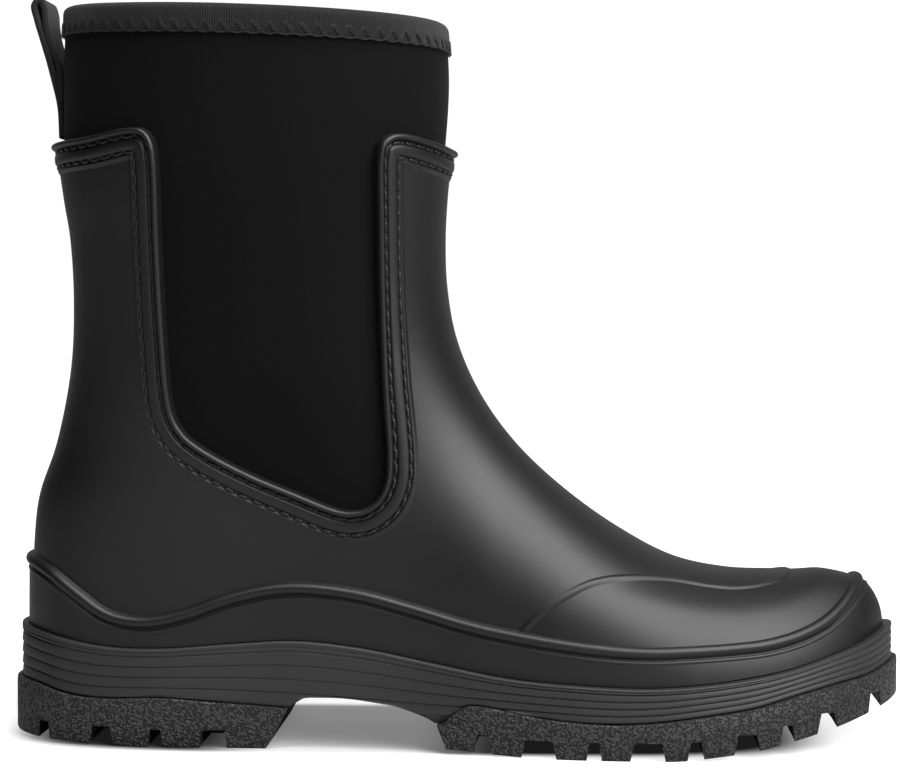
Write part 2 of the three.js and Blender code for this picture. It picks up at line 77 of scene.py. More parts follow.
# %% Pattern lines
# Rings of the form: back and front ends, as share of the length and height share.
BACK = [
    (0.02, 0.05), (0.0198, 0.09), (0.0196, 0.13), (0.0195, 0.17), (0.0194, 0.21), (0.0191, 0.25),
    (0.0188, 0.29), (0.0186, 0.34), (0.0184, 0.41), (0.0188, 0.52), (0.0198, 0.66), (0.0262, 0.82),
    (0.0465, 1.0), (0.0637, 1.17), (0.0678, 1.32), (0.0646, 1.4667), (0.0575, 1.56),
    (0.0512, 1.6667), (0.0508, 1.8333), (0.055, 2.05),
]
FRONT = [
    (0.979, 0.05), (0.98, 0.2), (0.98, 0.33), (0.9745, 0.45), (0.957, 0.524), (0.9225, 0.557),
    (0.868, 0.564), (0.808, 0.57), (0.748, 0.609), (0.6885, 0.703), (0.6235, 0.845),
    (0.568, 1.0037), (0.5279, 1.118), (0.502, 1.24), (0.4912, 1.36), (0.4893, 1.4667),
    (0.4915, 1.56), (0.4965, 1.6667), (0.5012, 1.8333), (0.4938, 2.05),
]
SHAFT_GIRTH = [(0, 0.7), (0.6, 0.72), (1, 0.76), (1.333, 0.84), (1.667, 0.935), (2.05, 1)]
OUTLINE = [
    (0, 0), (0.018, -0.17), (0.068, -0.283), (0.156, -0.327), (0.303, -0.332), (0.45, -0.37),
    (0.55, -0.425), (0.65, -0.468), (0.75, -0.472), (0.82, -0.437), (0.88, -0.373),
    (0.93, -0.282), (0.97, -0.164), (1, 0.045), (0.985, 0.2), (0.952, 0.336), (0.893, 0.445),
    (0.811, 0.509), (0.73, 0.528), (0.648, 0.5), (0.566, 0.432), (0.467, 0.345), (0.352, 0.305),
    (0.238, 0.314), (0.139, 0.327), (0.061, 0.282), (0.018, 0.17),
]
MIDSOLE_TOP = [
    (0, 1.08), (0.05, 1.01), (0.12, 0.92), (0.18, 0.91), (0.26, 0.96), (0.33, 0.995),
    (0.4, 0.945), (0.48, 0.825), (0.565, 0.705), (0.64, 0.66), (0.71, 0.64), (0.77, 0.665),
    (0.815, 0.705), (0.865, 0.77), (0.915, 0.875), (0.955, 0.965), (1, 1.1),
]
MIDSOLE_BOTTOM = [
    (0, 0.56), (0.04, 0.545), (0.065, 0.495), (0.09, 0.46), (0.12, 0.447), (0.18, 0.465),
    (0.25, 0.425), (0.31, 0.39), (0.323, 0.385), (0.338, 0.465), (0.36, 0.478), (0.385, 0.477),
    (0.415, 0.45), (0.447, 0.405), (0.475, 0.325), (0.49, 0.27), (0.503, 0.36), (0.52, 0.455),
    (0.54, 0.455), (0.57, 0.414), (0.608, 0.364), (0.67, 0.33), (0.72, 0.347), (0.78, 0.408),
    (0.83, 0.467), (0.875, 0.56), (0.925, 0.64), (0.96, 0.68), (1, 0.77),
]
TREAD = [
    (0, 0.045), (0.03, 0.036), (0.08, 0.03), (0.125, 0.016), (0.17, 0), (0.31, 0), (0.5, 0.045),
    (0.53, 0.035), (0.56, 0.015), (0.6, 0), (0.74, 0), (0.79, 0.035), (0.84, 0.09),
    (0.88, 0.16), (0.92, 0.235), (0.96, 0.32), (1, 0.4),
]
# Ends of the two blocks: shares of the length, and of the depth where a slope starts or stops.
HEEL_BREAST = {"top": 0.324, "bottom": 0.299, "corner": 0.39}
FOREFOOT_START = {"top": 0.488, "bottom": 0.497, "corner": 0.07, "shoulder": 0.25}
# Lug gaps: middle as share of the length, width at the ground and at the top.
LUG_GAPS = [
    (0.048, 4.5, 3.5), (0.116, 8.5, 6), (0.177, 5.5, 3.5), (0.241, 9.5, 7.5), (0.538, 6, 3.7),
    (0.598, 11.5, 9), (0.657, 5, 3), (0.714, 11.5, 8.8), (0.765, 5.5, 3.4), (0.82, 8.5, 6.2),
    (0.864, 5, 3.2), (0.909, 7, 4.5), (0.966, 5, 3.5),
]
BEAD_LINE = [
    (-0.05, 0.64), (0.02, 0.625), (0.053, 0.593), (0.088, 0.523), (0.125, 0.452),
    (0.162, 0.434), (0.204, 0.458), (0.253, 0.511), (0.306, 0.548), (0.345, 0.553),
    (0.402, 0.533), (0.462, 0.488), (0.524, 0.438), (0.597, 0.398), (0.666, 0.371),
    (0.713, 0.361), (0.759, 0.362), (0.805, 0.367), (0.841, 0.376), (0.877, 0.4),
    (0.906, 0.436), (0.927, 0.481), (0.94, 0.519), (0.955, 0.56), (1.02, 0.66),
]
TOE_LINE = [
    (0.56, 0.3), (0.577, 0.395), (0.604, 0.479), (0.643, 0.55), (0.667, 0.571), (0.702, 0.575),
    (0.736, 0.565), (0.785, 0.538), (0.815, 0.53), (0.844, 0.537), (0.867, 0.552),
    (0.88, 0.57), (0.887, 0.59), (0.89, 0.64),
]
SHELL_EDGE = [
    (-0.06, 1.655), (0.04, 1.682), (0.11, 1.692), (0.153, 1.706), (0.171, 1.704), (0.18, 1.69),
    (0.1855, 1.665), (0.188, 1.62), (0.189, 1.44), (0.192, 1.26), (0.197, 1.117),
    (0.202, 1.07), (0.213, 1.033), (0.23, 1.005), (0.279, 0.925), (0.335, 0.852),
    (0.379, 0.8), (0.393, 0.795), (0.407, 0.803), (0.4215, 0.836), (0.43, 0.895),
    (0.4315, 0.963), (0.426, 1.153), (0.4226, 1.33), (0.4216, 1.55), (0.422, 1.638),
    (0.4253, 1.672), (0.435, 1.691), (0.446, 1.696), (0.479, 1.683), (0.506, 1.664),
    (0.6, 1.6),
]
COLLAR_LINE = [
    (-0.05, 2.005), (0.05, 1.995), (0.15, 1.982), (0.27, 1.972), (0.4, 1.962), (0.5, 1.957),
    (0.6, 1.952),
]
LOOP_OUTER = [
    (0.0532, 1.7), (0.0518, 1.77), (0.0478, 1.82), (0.042, 1.87), (0.034, 1.925),
    (0.0275, 1.97), (0.0245, 2.003), (0.0305, 2.019), (0.0382, 2.017), (0.0428, 1.995),
    (0.044, 1.967), (0.0474, 1.925), (0.0554, 1.87), (0.0582, 1.83), (0.0586, 1.78),
]
BEND = (0.779, 1.2667)
TOE_FLOOR = 0.2
SQUARENESS = 2.2
FOOT_TOP = 0.45
SHAFT_START = 1.2
SHAFT_FOOT = 0.66
print("pattern lines:", len(BACK), "rings,", len(LUG_GAPS), "lug gaps")

# %% [markdown]
# Reading the lines.
# A pattern line is a few points. Straight pieces between them would show as corners on a glossy
# boot, so each line is drawn as a smooth curve through its points, the same kind of curve that
# the solids use, and then read off wherever a height or a width is needed.

# %% Curves and readers
def along(share):
    return (np.asarray(share, float) - 0.5) * SOLE_LENGTH


def lift(share):
    share = np.asarray(share, float)
    low = share * ANKLE_HEIGHT
    high = ANKLE_HEIGHT + (BOOT_HEIGHT - ANKLE_HEIGHT) * (share - 1)
    return np.where(share <= 1, low, high)


def curve_at(points, shares, closed=False):
    """A centripetal curve through the points, read at shares of its spans."""
    points = np.asarray(points, float)
    count = len(points)
    spans = count if closed else count - 1
    place = np.clip(np.asarray(shares, float), 0, 1) * spans
    start = np.minimum(place.astype(int), spans - 1)
    t = (place - start)[..., None]
    if closed:
        p0, p1, p2, p3 = (points[(start + k) % count] for k in (-1, 0, 1, 2))
    else:
        line = np.vstack([2 * points[0] - points[1], points, 2 * points[-1] - points[-2]])
        p0, p1, p2, p3 = (line[start + k] for k in range(4))

    def gap(a, b):
        return np.maximum(np.sum((a - b) ** 2, axis=-1) ** 0.25, 1e-4)[..., None]

    g0, g1, g2 = gap(p0, p1), gap(p1, p2), gap(p2, p3)
    leave = ((p1 - p0) / g0 - (p2 - p0) / (g0 + g1) + (p2 - p1) / g1) * g1
    arrive = ((p2 - p1) / g1 - (p3 - p1) / (g1 + g2) + (p3 - p2) / g2) * g1
    return (p1 + leave * t + (3 * (p2 - p1) - 2 * leave - arrive) * t ** 2
            + (2 * (p1 - p2) + leave + arrive) * t ** 3)


def smooth_line(points, steps):
    return curve_at(points, np.linspace(0, 1, steps * (len(points) - 1) + 1))


def reader(pairs):
    pairs = np.asarray(pairs, float)
    pairs = pairs[np.argsort(pairs[:, 0], kind="stable")]
    return lambda value: np.interp(value, pairs[:, 0], pairs[:, 1])


def on_shell(points):
    points = np.asarray(points, float)
    return np.column_stack([along(points[:, 0]), lift(points[:, 1])])


def sole_reader(points):
    points = np.asarray(points, float)
    placed = np.column_stack([along(points[:, 0]), points[:, 1] * SOLE_DEPTH])
    return reader(smooth_line(placed, 12))


def shell_reader(points):
    return reader(smooth_line(on_shell(points), 12))


midsole_top = sole_reader(MIDSOLE_TOP)
midsole_bottom = sole_reader(MIDSOLE_BOTTOM)
tread_line = sole_reader(TREAD)
bead_line = shell_reader(BEAD_LINE)
collar_line = shell_reader(COLLAR_LINE)


def tread(x):
    return np.maximum(tread_line(x), 0)


def outline_readers():
    line = curve_at(OUTLINE, np.linspace(0, 1, len(OUTLINE) * 200 + 1), closed=True)
    tip, heel = int(line[:, 0].argmax()), int(line[:, 0].argmin())
    start, span = line[heel, 0], line[tip, 0] - line[heel, 0]
    shares = np.column_stack([(line[:, 0] - start) / span, line[:, 1]])
    if heel > tip:
        outer = np.vstack([shares[heel:-1], shares[:tip + 1]])
        inner = shares[tip:heel + 1]
    else:
        outer = shares[heel:tip + 1]
        inner = np.vstack([shares[tip:-1], shares[:heel + 1]])
    return reader(outer), reader(inner), (line[:, 1].min() + line[:, 1].max()) / 2


outline_outer, outline_inner, outline_middle = outline_readers()
SIDE_SHIFT = -outline_middle * SOLE_WIDTH
print("the form lies %.2f mm to the side of the frame's middle" % SIDE_SHIFT)

# %% [markdown]
# The form of the boot.
# A boot is moulded on a last, one smooth body for foot and leg. Here it is a family of rings:
# upright ones over the toes that turn about the bend of the ankle into level ones round the leg.
# Each ring runs from the heel line to the toe, instep and shin line, and a second rule gives its
# half width. Subdivision surfaces could round a rough cage, but only this form agrees with the
# solids to a fraction of a millimetre.

# %% The form
back_points = on_shell(BACK)
front_points = on_shell(FRONT)
fine_front = curve_at(front_points, np.linspace(0, 1, 8001))
fine_back = curve_at(back_points, np.linspace(0, 1, 4001))
tip_index = int(fine_front[:, 0].argmax())
tip_x = fine_front[tip_index, 0]
bend_x, bend_z = float(along(BEND[0])), float(lift(BEND[1]))
over_toe = fine_front[tip_index:]
back_at = reader(fine_back[:, ::-1])
ridge_at = reader(over_toe[over_toe[:, 0] >= bend_x - 8])
shin_at = reader(over_toe[over_toe[:, 1] >= bend_z - 8][:, ::-1])


def turn_at(x, z):
    return np.arctan2(bend_x - x, bend_z - z)


def instep_reader():
    near = over_toe[(over_toe[:, 0] < bend_x + 8) & (over_toe[:, 1] < bend_z + 8)]
    turns = turn_at(near[:, 0], near[:, 1])
    return reader(np.column_stack([turns, np.hypot(bend_x - near[:, 0], bend_z - near[:, 1])]))


instep_at = instep_reader()
girth_points = np.array([(lift(up), share * SHAFT_WIDTH / 2) for up, share in SHAFT_GIRTH], float)
girth_at = reader(smooth_line(girth_points, 12))


def ease(value):
    value = np.clip(value, 0, 1)
    return value ** 2 * (3 - 2 * value)


def mix(a, b, share):
    return a + (b - a) * share


def closing(distance, depth):
    left = 1 - np.clip(distance / np.maximum(depth, 1e-6), 0, 1)
    return (1 - left ** SQUARENESS) ** (1 / SQUARENESS)


def arch_at(x, z):
    shaft_depth = (shin_at(z) - back_at(z)) / 2
    toe_depth = ridge_at(x) - lift(TOE_FLOOR)
    turn = turn_at(x, z)
    waist = ridge_at(bend_x) - lift(TOE_FLOOR)
    depth = mix(waist, shaft_depth, ease(turn / (math.pi / 2)))
    radial = np.hypot(bend_x - x, bend_z - z) - instep_at(turn)
    lower = np.where(x >= bend_x, closing(ridge_at(x) - z, toe_depth), closing(radial, depth))
    return np.where((x < bend_x) & (z >= bend_z), closing(shin_at(z) - x, shaft_depth), lower)


def girth(x, z):
    heel = back_at(z)
    share = np.clip((x - heel) / (tip_x - heel), 0, 1)
    outer = outline_outer(share) * UPPER_WIDTH
    inner = outline_inner(share) * UPPER_WIDTH
    shaft = girth_at(z) * closing(x - heel, (shin_at(np.maximum(z, bend_z)) - heel) / 2)
    rise = ease((z - lift(FOOT_TOP)) / (lift(SHAFT_START) - lift(FOOT_TOP)))
    middle = mix((outer + inner) / 2, 0, rise)
    return middle, mix((inner - outer) / 2, shaft, rise) * arch_at(x, z)


def form_point(level, turn):
    """level: 0 below the sole line to 1 above the collar. turn: front, outer side, back, inner side."""
    level, turn = np.broadcast_arrays(np.asarray(level, float), np.asarray(turn, float))
    share = (1 + np.cos(turn)) / 2
    place = mix(curve_at(back_points, level), curve_at(front_points, level), share[..., None])
    x, z = place[..., 0], place[..., 1]
    middle, half = girth(x, z)
    side = -np.sign(np.where(np.abs(np.sin(turn)) < 1e-9, 0, np.sin(turn)))
    return np.stack([x, middle + side * half, z], axis=-1)


NORMAL_TURN = 0.04
NORMAL_LEVEL = 0.012


def form_normal(level, turn):
    across = form_point(level, turn + NORMAL_TURN) - form_point(level, turn - NORMAL_TURN)
    above = form_point(np.minimum(level + NORMAL_LEVEL, 1), turn)
    up = above - form_point(np.maximum(level - NORMAL_LEVEL, 0), turn)
    normal = np.cross(up, across)
    return normal / np.linalg.norm(normal, axis=-1, keepdims=True)


def off_form(level, turn, offset):
    level, turn = np.broadcast_arrays(np.asarray(level, float), np.asarray(turn, float))
    offset = np.broadcast_to(offset, level.shape)[..., None]
    return form_point(level, turn) + form_normal(level, turn) * offset


def levels_where(turns, line, drop=0.0, offset=0.0, near=(0.0, 1.0)):
    """For each turn, the level at which the form meets a line seen from the side, less a drop."""
    levels = np.linspace(*near, 60 + int(340 * (near[1] - near[0])))[:, None]
    points = off_form(levels, turns[None, :], offset) if offset else form_point(levels, turns[None, :])
    over = points[..., 2] - line(points[..., 0]) + drop
    first = np.clip((over > 0).argmax(axis=0), 1, len(levels) - 1)
    column = np.arange(len(turns))
    low, high = over[first - 1, column], over[first, column]
    part = np.clip(-low / np.where(high - low == 0, 1, high - low), 0, 1)
    return levels[first - 1, 0] + part * (levels[1, 0] - levels[0, 0])


COLLAR_LEVELS = (0.8, 1.0)


def turns_of(count):
    return np.arange(count) * 2 * math.pi / count


probe = form_point(0.5, turns_of(8))
print("form at half height: width %.1f mm" % np.ptp(probe[:, 1]))

# %% [markdown]
# Meshes from grids.
# Most pieces are a grid of points bent to a shape. A grid gives an even mesh and, for free, a
# flat map of the surface in real metres: that map lets a rib or a weave follow the cloth round
# the collar, where a texture laid in space would smear.

# %% Mesh helpers
def face_outwards(mesh):
    shape = bmesh.new()
    shape.from_mesh(mesh)
    bmesh.ops.recalc_face_normals(shape, faces=shape.faces)
    shape.to_mesh(mesh)
    shape.free()


def object_from(name, points, faces, corners_uv=None, turn=False):
    """An object from millimetres. turn works out afresh which way its faces look."""
    points = np.asarray(points, float) + (0, SIDE_SHIFT, 0)
    mesh = bpy.data.meshes.new(name)
    faces = faces if isinstance(faces, list) else faces.tolist()
    mesh.from_pydata((points * METRES).tolist(), [], faces)
    if corners_uv is not None:
        layer = mesh.uv_layers.new(name="flat")
        layer.data.foreach_set("uv", (np.asarray(corners_uv) * METRES).ravel())
    if turn:
        face_outwards(mesh)
    mesh.polygons.foreach_set("use_smooth", [True] * len(mesh.polygons))
    mesh.validate()
    mesh.update()
    piece = bpy.data.objects.new(name, mesh)
    bpy.context.scene.collection.objects.link(piece)
    return piece


def grid_faces(rows, cols, wrap):
    row = np.arange(rows - 1)[:, None]
    col = np.arange(cols if wrap else cols - 1)[None, :]
    low, high, after = row * cols, (row + 1) * cols, (col + 1) % cols
    corners = (low + col, high + col, high + after, low + after)
    return np.stack(np.broadcast_arrays(*corners), axis=-1).reshape(-1, 4)


def grid_map(grid, wrap):
    """Corner by corner, the distance round and the distance up, both in millimetres."""
    rows, cols = grid.shape[:2]
    loop = np.concatenate([grid, grid[:, :1]], axis=1) if wrap else grid
    round_it = np.linalg.norm(np.diff(loop, axis=1), axis=-1).mean(axis=0)
    up_it = np.linalg.norm(np.diff(grid, axis=0), axis=-1).mean(axis=1)
    u, v = np.append(0, np.cumsum(round_it)), np.append(0, np.cumsum(up_it))
    row = np.arange(rows - 1)[:, None]
    col = np.arange(cols if wrap else cols - 1)[None, :]
    corners = [(row, col), (row + 1, col), (row + 1, col + 1), (row, col + 1)]
    flat = [np.stack(np.broadcast_arrays(u[c], v[r]), axis=-1) for r, c in corners]
    return np.stack(flat, axis=-2).reshape(-1, 4, 2)


def piece_from_grid(name, grid, wrap=True, caps=None):
    """A mesh from rows of points. caps closes rows across with strips."""
    grid = np.asarray(grid, float)
    rows, cols = grid.shape[:2]
    faces, flat = grid_faces(rows, cols, wrap), grid_map(grid, wrap)
    if caps:
        near = np.arange(cols // 2)
        far = (cols - near) % cols
        strips = []
        for row, up in caps:
            base = row * cols
            corners = (base + near, base + near + 1, base + cols - near - 1, base + far)
            strip = np.stack(corners, axis=-1)
            strips.append(strip[:, ::-1] if up else strip)
        extra = np.concatenate(strips)
        flat = np.concatenate([flat, grid.reshape(-1, 3)[extra][..., :2]])
        faces = np.concatenate([faces, extra])
    return object_from(name, grid.reshape(-1, 3), faces, flat)


def tube_grid(path, normals, radius, sides, closed=False, flat=1.0):
    """Rings of points round a path: a thread. flat presses it towards the surface."""
    if closed:
        ahead = np.roll(path, -1, axis=0) - np.roll(path, 1, axis=0)
    else:
        ahead = np.gradient(path, axis=0)
    ahead /= np.linalg.norm(ahead, axis=1, keepdims=True)
    side = np.cross(ahead, normals)
    side /= np.linalg.norm(side, axis=1, keepdims=True)
    out = np.cross(side, ahead)
    angle = np.arange(sides) * 2 * math.pi / sides
    radius = np.broadcast_to(radius, len(path))[:, None, None]
    cosine, sine = np.cos(angle)[None, :, None], np.sin(angle)[None, :, None]
    ring = side[:, None] * cosine + out[:, None] * sine * flat
    return path[:, None] + ring * radius


print("helpers ready")

# %% [markdown]
# Shader sums.
# A finish is easier to read as arithmetic than as a web of boxes. A small class wraps a node's
# output and turns plus, minus, times and divide into Math nodes, and one method makes any other
# node from its type, its settings and what goes into its sockets.

# %% The wrapped socket
class Wire:
    """The output of a shader node, usable in sums."""

    def __init__(self, finish, socket):
        self.finish = finish
        self.socket = socket

    def sum(self, operation, first, second):
        return self.finish.node("Math", {"operation": operation}, {0: first, 1: second})

    def __add__(self, other):
        return self.sum("ADD", self, other)

    __radd__ = __add__

    def __mul__(self, other):
        return self.sum("MULTIPLY", self, other)

    __rmul__ = __mul__

    def __sub__(self, other):
        return self.sum("SUBTRACT", self, other)

    def __rsub__(self, other):
        return self.sum("SUBTRACT", other, self)

    def __truediv__(self, other):
        return self.sum("DIVIDE", self, other)

    def __pow__(self, other):
        return self.sum("POWER", self, other)


class Finish:
    """A material: one Principled shader and the nodes that feed it."""

    def __init__(self, name, **constants):
        self.material = bpy.data.materials.new(name)
        self.material.use_nodes = True
        self.tree = self.material.node_tree
        self.shader = self.tree.nodes["Principled BSDF"]
        for socket, value in constants.items():
            self.shader.inputs[socket.replace("_", " ")].default_value = value

    def node(self, kind, settings=None, inputs=None, output=0):
        made = self.tree.nodes.new("ShaderNode" + kind)
        for key, value in (settings or {}).items():
            setattr(made, key, value)
        for key, value in (inputs or {}).items():
            self.feed(made.inputs[key], value)
        return Wire(self, made.outputs[output])

    def feed(self, socket, value):
        if isinstance(value, Wire):
            self.tree.links.new(value.socket, socket)
        else:
            socket.default_value = value

    def ramp(self, value, low, high):
        """0 below low, 1 above high, smooth between."""
        settings = {"interpolation_type": "SMOOTHSTEP", "clamp": True}
        return self.node("MapRange", settings, {0: value, 1: low, 2: high, 3: 0.0, 4: 1.0})

    def blend(self, mask, first, second):
        settings = {"data_type": "RGBA"}
        return self.node("Mix", settings, {0: mask, 6: (*first, 1), 7: (*second, 1)}, output=2)

    def noise(self, scale, detail=2.0, where=None, rough=0.5):
        inputs = {"Vector": where or self.place(), "Scale": scale, "Detail": detail, "Roughness": rough}
        return self.node("TexNoise", {}, inputs)

    def place(self):
        return self.node("TexCoord", {}, {}, output="Object")

    def flat(self):
        return self.node("TexCoord", {}, {}, output="UV")

    def split(self, vector, axis):
        return self.node("SeparateXYZ", {}, {0: vector}, output=axis)

    def wave(self, value, pitch):
        """A ripple from 0 to 1 that repeats every pitch."""
        turned = self.node("Math", {"operation": "SINE"}, {0: value * (2 * math.pi / pitch)})
        return turned * 0.5 + 0.5

    def bump(self, height, distance):
        normal = self.node("Bump", {}, {"Distance": distance, "Height": height})
        self.feed(self.shader.inputs["Normal"], normal)

    def set(self, socket, value):
        self.feed(self.shader.inputs[socket], value)


print("shader sums ready")

# %% [markdown]
# Rubber.
# Moulded rubber boots are black all through, with a satin skin: a broad grey highlight, never a
# mirror, and a very fine grain left by the mould. A flat black with one roughness looks like
# plastic. Here the grain is a small bump, and the roughness drifts in slow clouds and fine
# specks, with a few rubbed places where the skin is duller.

# %% Satin rubber of the shell
# Scales are in waves to a metre, heights in metres.
CLOUD_SCALE = 22.0
RUBBED_SCALE = 95.0
SKIN_SCALE = 900.0
SPECK_SCALE = 2600.0
MOULD_GRAIN = 0.000028


def rubber(name, dark, light, rough):
    finish = Finish(name, IOR=1.5)
    clouds = finish.noise(CLOUD_SCALE, 3.0)
    specks = finish.noise(SPECK_SCALE, 2.0)
    rubbed = finish.ramp(finish.noise(RUBBED_SCALE, 5.0, rough=0.62), 0.56, 0.74)
    finish.set("Base Color", finish.blend(clouds * 0.7 + rubbed * 0.3, dark, light))
    finish.set("Roughness", rough + (clouds - 0.5) * 0.08 + (specks - 0.5) * 0.06 + rubbed * 0.04)
    finish.bump(specks + finish.noise(SKIN_SCALE, 2.0) * 0.6 + rubbed * 0.4, MOULD_GRAIN)
    return finish.material


shell_rubber = rubber("satin_rubber", (0.0026, 0.0027, 0.0028), (0.0046, 0.0047, 0.0049), 0.455)
side_rubber = rubber("sole_side_rubber", (0.016, 0.016, 0.0163), (0.025, 0.025, 0.0255), 0.50)
print("rubbers:", shell_rubber.name, side_rubber.name)

# %% [markdown]
# The coarse rubber of the outsole.
# Its sides carry a raised worm-like grain, so the gloss breaks into small patches. The grain is
# about a millimetre across: too fine to model over the whole sole, but easy as a height from
# distorted noise, with the bottoms of the grain duller than its tops. The bottoms are also
# coloured much darker than the tops, as painted shade in the hollows of the grain.

# %% Pebbled rubber of the outsole
DRIFT_SCALE = 560.0
DRIFT = 0.0009
WORM_SCALE = 1150.0
FINE_SCALE = 3000.0
WORM_HEIGHT = 0.0011


def pebbled():
    finish = Finish("pebbled_rubber", IOR=1.5)
    place = finish.place()
    drift_inputs = {"Vector": place, "Scale": DRIFT_SCALE, "Detail": 1.0}
    drift = finish.node("TexNoise", {}, drift_inputs, output=1)
    shift_inputs = {0: drift, 1: (DRIFT, DRIFT, DRIFT), 2: place}
    shifted = finish.node("VectorMath", {"operation": "MULTIPLY_ADD"}, shift_inputs)
    raised = finish.ramp(finish.noise(WORM_SCALE, 0.6, shifted), 0.44, 0.56)
    fine = finish.noise(FINE_SCALE, 2.0)
    # Colour: near black in the grain's hollows and dark grey on its tops, which is painted shade.
    finish.set("Base Color", finish.blend(raised, (0.002, 0.002, 0.002), (0.03, 0.03, 0.0305)))
    finish.set("Roughness", 0.74 - raised * 0.3 + (fine - 0.5) * 0.08)
    finish.bump(raised + fine * 0.1, WORM_HEIGHT)
    return finish.material


sole_rubber = pebbled()
print("outsole finish:", sole_rubber.name)

# %% [markdown]
# Cloth finishes.
# The shaft is neoprene faced with a fine black knit, the collar is bound with a ribbed tape, and
# the pull loop is a twill webbing. All three are dull and soft: high roughness, a little sheen,
# and a bump that follows each cloth's own map, so ribs run up the binding and twill runs
# across the webbing.

# %% Knit, ribbed tape, webbing and thread
# Pitches in metres.
KNIT_WALE, KNIT_COURSE = 0.0007, 0.00045
RIB_PITCH = 0.00055
TWILL_LONG, TWILL_SHORT = 0.0013, 0.0006
PLY_PITCH = 0.0004
LINT_SCALE = 1800.0


def cloth(name, dark, light, rough, sheen, height, distance, shine=0.25):
    """height gives the weave from the flat map; distance is how far it stands out."""
    finish = Finish(name, Sheen_Weight=sheen, Sheen_Roughness=0.45, Specular_IOR_Level=shine)
    flat = finish.flat()
    weave = height(finish, finish.split(flat, 0), finish.split(flat, 1))
    lint = finish.noise(LINT_SCALE, 3.0)
    finish.set("Base Color", finish.blend(weave * 0.7 + lint * 0.3, dark, light))
    finish.set("Roughness", rough + (lint - 0.5) * 0.12)
    finish.bump(weave + lint * 0.35, distance)
    return finish.material


def knit_height(finish, u, v):
    bend = finish.wave(v, 2 * KNIT_COURSE) * 0.00012
    return finish.wave(u + bend, KNIT_WALE) * finish.wave(v, KNIT_COURSE)


def rib_height(finish, u, v):
    return finish.wave(u, RIB_PITCH) ** 0.7


def twill_height(finish, u, v):
    return finish.wave(u + v * 1.6, TWILL_LONG) * 0.7 + finish.wave(u - v, TWILL_SHORT) * 0.3


def plain_height(finish, u, v):
    return finish.wave(u * 0.6 + v, PLY_PITCH)


neoprene = cloth("neoprene_knit", (0.0016, 0.0016, 0.0017), (0.004, 0.004, 0.0042), 0.86, 0.02,
                 knit_height, 0.00004, 0.12)
ribbed_tape = cloth("ribbed_tape", (0.0035, 0.0035, 0.0037), (0.013, 0.013, 0.0135), 0.66, 0.1,
                    rib_height, 0.00016)
webbing = cloth("twill_webbing", (0.003, 0.003, 0.0032), (0.012, 0.012, 0.0125), 0.6, 0.1,
                twill_height, 0.00022)
thread = cloth("black_thread", (0.006, 0.006, 0.0062), (0.014, 0.014, 0.0145), 0.5, 0.1,
               plain_height, 0.00005)
foam_top = cloth("insole_cloth", (0.012, 0.012, 0.0125), (0.03, 0.03, 0.031), 0.95, 0.2,
                 knit_height, 0.00008)
print("cloth finishes ready")

# %% [markdown]
# The shell: foxing and upper.
# One moulding carries a smooth band above the sole and the plain upper, a little lower, with a
# rounded bead between them. At the top the shell is cut: low behind and in front, with a deep U
# on each side. Both parts are the same ring grid at their own heights, trimmed to a line. The
# trimming clips the faces that cross the line, as scissors would, so the borders are clean;
# a boolean would do the same but leaves long thin triangles that spoil a glossy surface.

# %% Distances seen from the side
def distance_to(line, x, z):
    points = np.stack([x, z], axis=-1)[..., None, :]
    start, end = line[:-1], line[1:]
    run = end - start
    part = np.clip(np.sum((points - start) * run, axis=-1) / np.sum(run * run, axis=-1), 0, 1)
    return np.linalg.norm(points - start - part[..., None] * run, axis=-1).min(axis=-1)


def inside(polygon, x, z):
    start, end = polygon, np.roll(polygon, -1, axis=0)
    crossed = np.zeros(x.shape, bool)
    for (ax, az), (bx, bz) in zip(start, end):
        spans = (az > z) != (bz > z)
        at = ax + (z - az) / ((bz - az) if bz != az else 1e-9) * (bx - ax)
        crossed ^= spans & (x < at)
    return crossed


edge_line = smooth_line(on_shell(SHELL_EDGE), 8)
toe_line = smooth_line(on_shell(TOE_LINE), 8)
far = SOLE_LENGTH
behind_line = [(-far, -far), (-far, edge_line[0, 1])]
before_line = [(far, edge_line[-1, 1]), (far, -far)]
shell_side = np.vstack([behind_line, edge_line, before_line])
toe_side = np.vstack([toe_line, [(far, lift(1.0)), (far, -far), (toe_line[0, 0], -far)]])
TOE_EASE = 9.0


def toe_lift(points):
    """The overlay over the toes: nothing outside its line, rising gently inside."""
    x, z = points[..., 0], points[..., 2]
    within = np.where(inside(toe_side, x, z), distance_to(toe_line, x, z), 0)
    return TOE_STEP * ease(within / TOE_EASE)


# %% Clip a grid to a line
SHELL_AROUND = 400
SHELL_ROWS = 190


def clipped(points, faces, value):
    """The part of a mesh where value is above zero, with clean edges along zero."""
    good = value > 0
    whole = good[faces].all(axis=1)
    crossing = ~whole & good[faces].any(axis=1)
    points, kept, made = list(points), faces[whole].tolist(), {}
    for face in faces[crossing]:
        corners = []
        for a, b in zip(face, np.roll(face, -1)):
            if good[a]:
                corners.append(int(a))
            if good[a] != good[b]:
                key = (min(a, b), max(a, b))
                if key not in made:
                    part = value[key[0]] / (value[key[0]] - value[key[1]])
                    made[key] = len(points)
                    points.append(points[key[0]] + (points[key[1]] - points[key[0]]) * part)
                corners.append(made[key])
        if len(set(corners)) > 2:
            kept.append(corners)
    used = sorted({corner for face in kept for corner in face})
    place = {old: new for new, old in enumerate(used)}
    return np.array([points[old] for old in used]), [[place[c] for c in face] for face in kept]


def shell_part(name, offset, field):
    """The ring grid at an offset, kept where the field is above zero."""
    turns = turns_of(SHELL_AROUND)
    levels = np.linspace(0, 1, SHELL_ROWS)[:, None]
    plain = form_point(levels, turns[None, :])
    lifted = toe_lift(plain) if offset == 0 else offset
    grid = off_form(levels, turns[None, :], lifted).reshape(-1, 3)
    value = field(plain[..., 0], plain[..., 2]).ravel()
    points, faces = clipped(grid, grid_faces(SHELL_ROWS, SHELL_AROUND, True), value)
    return object_from(name, points, faces)


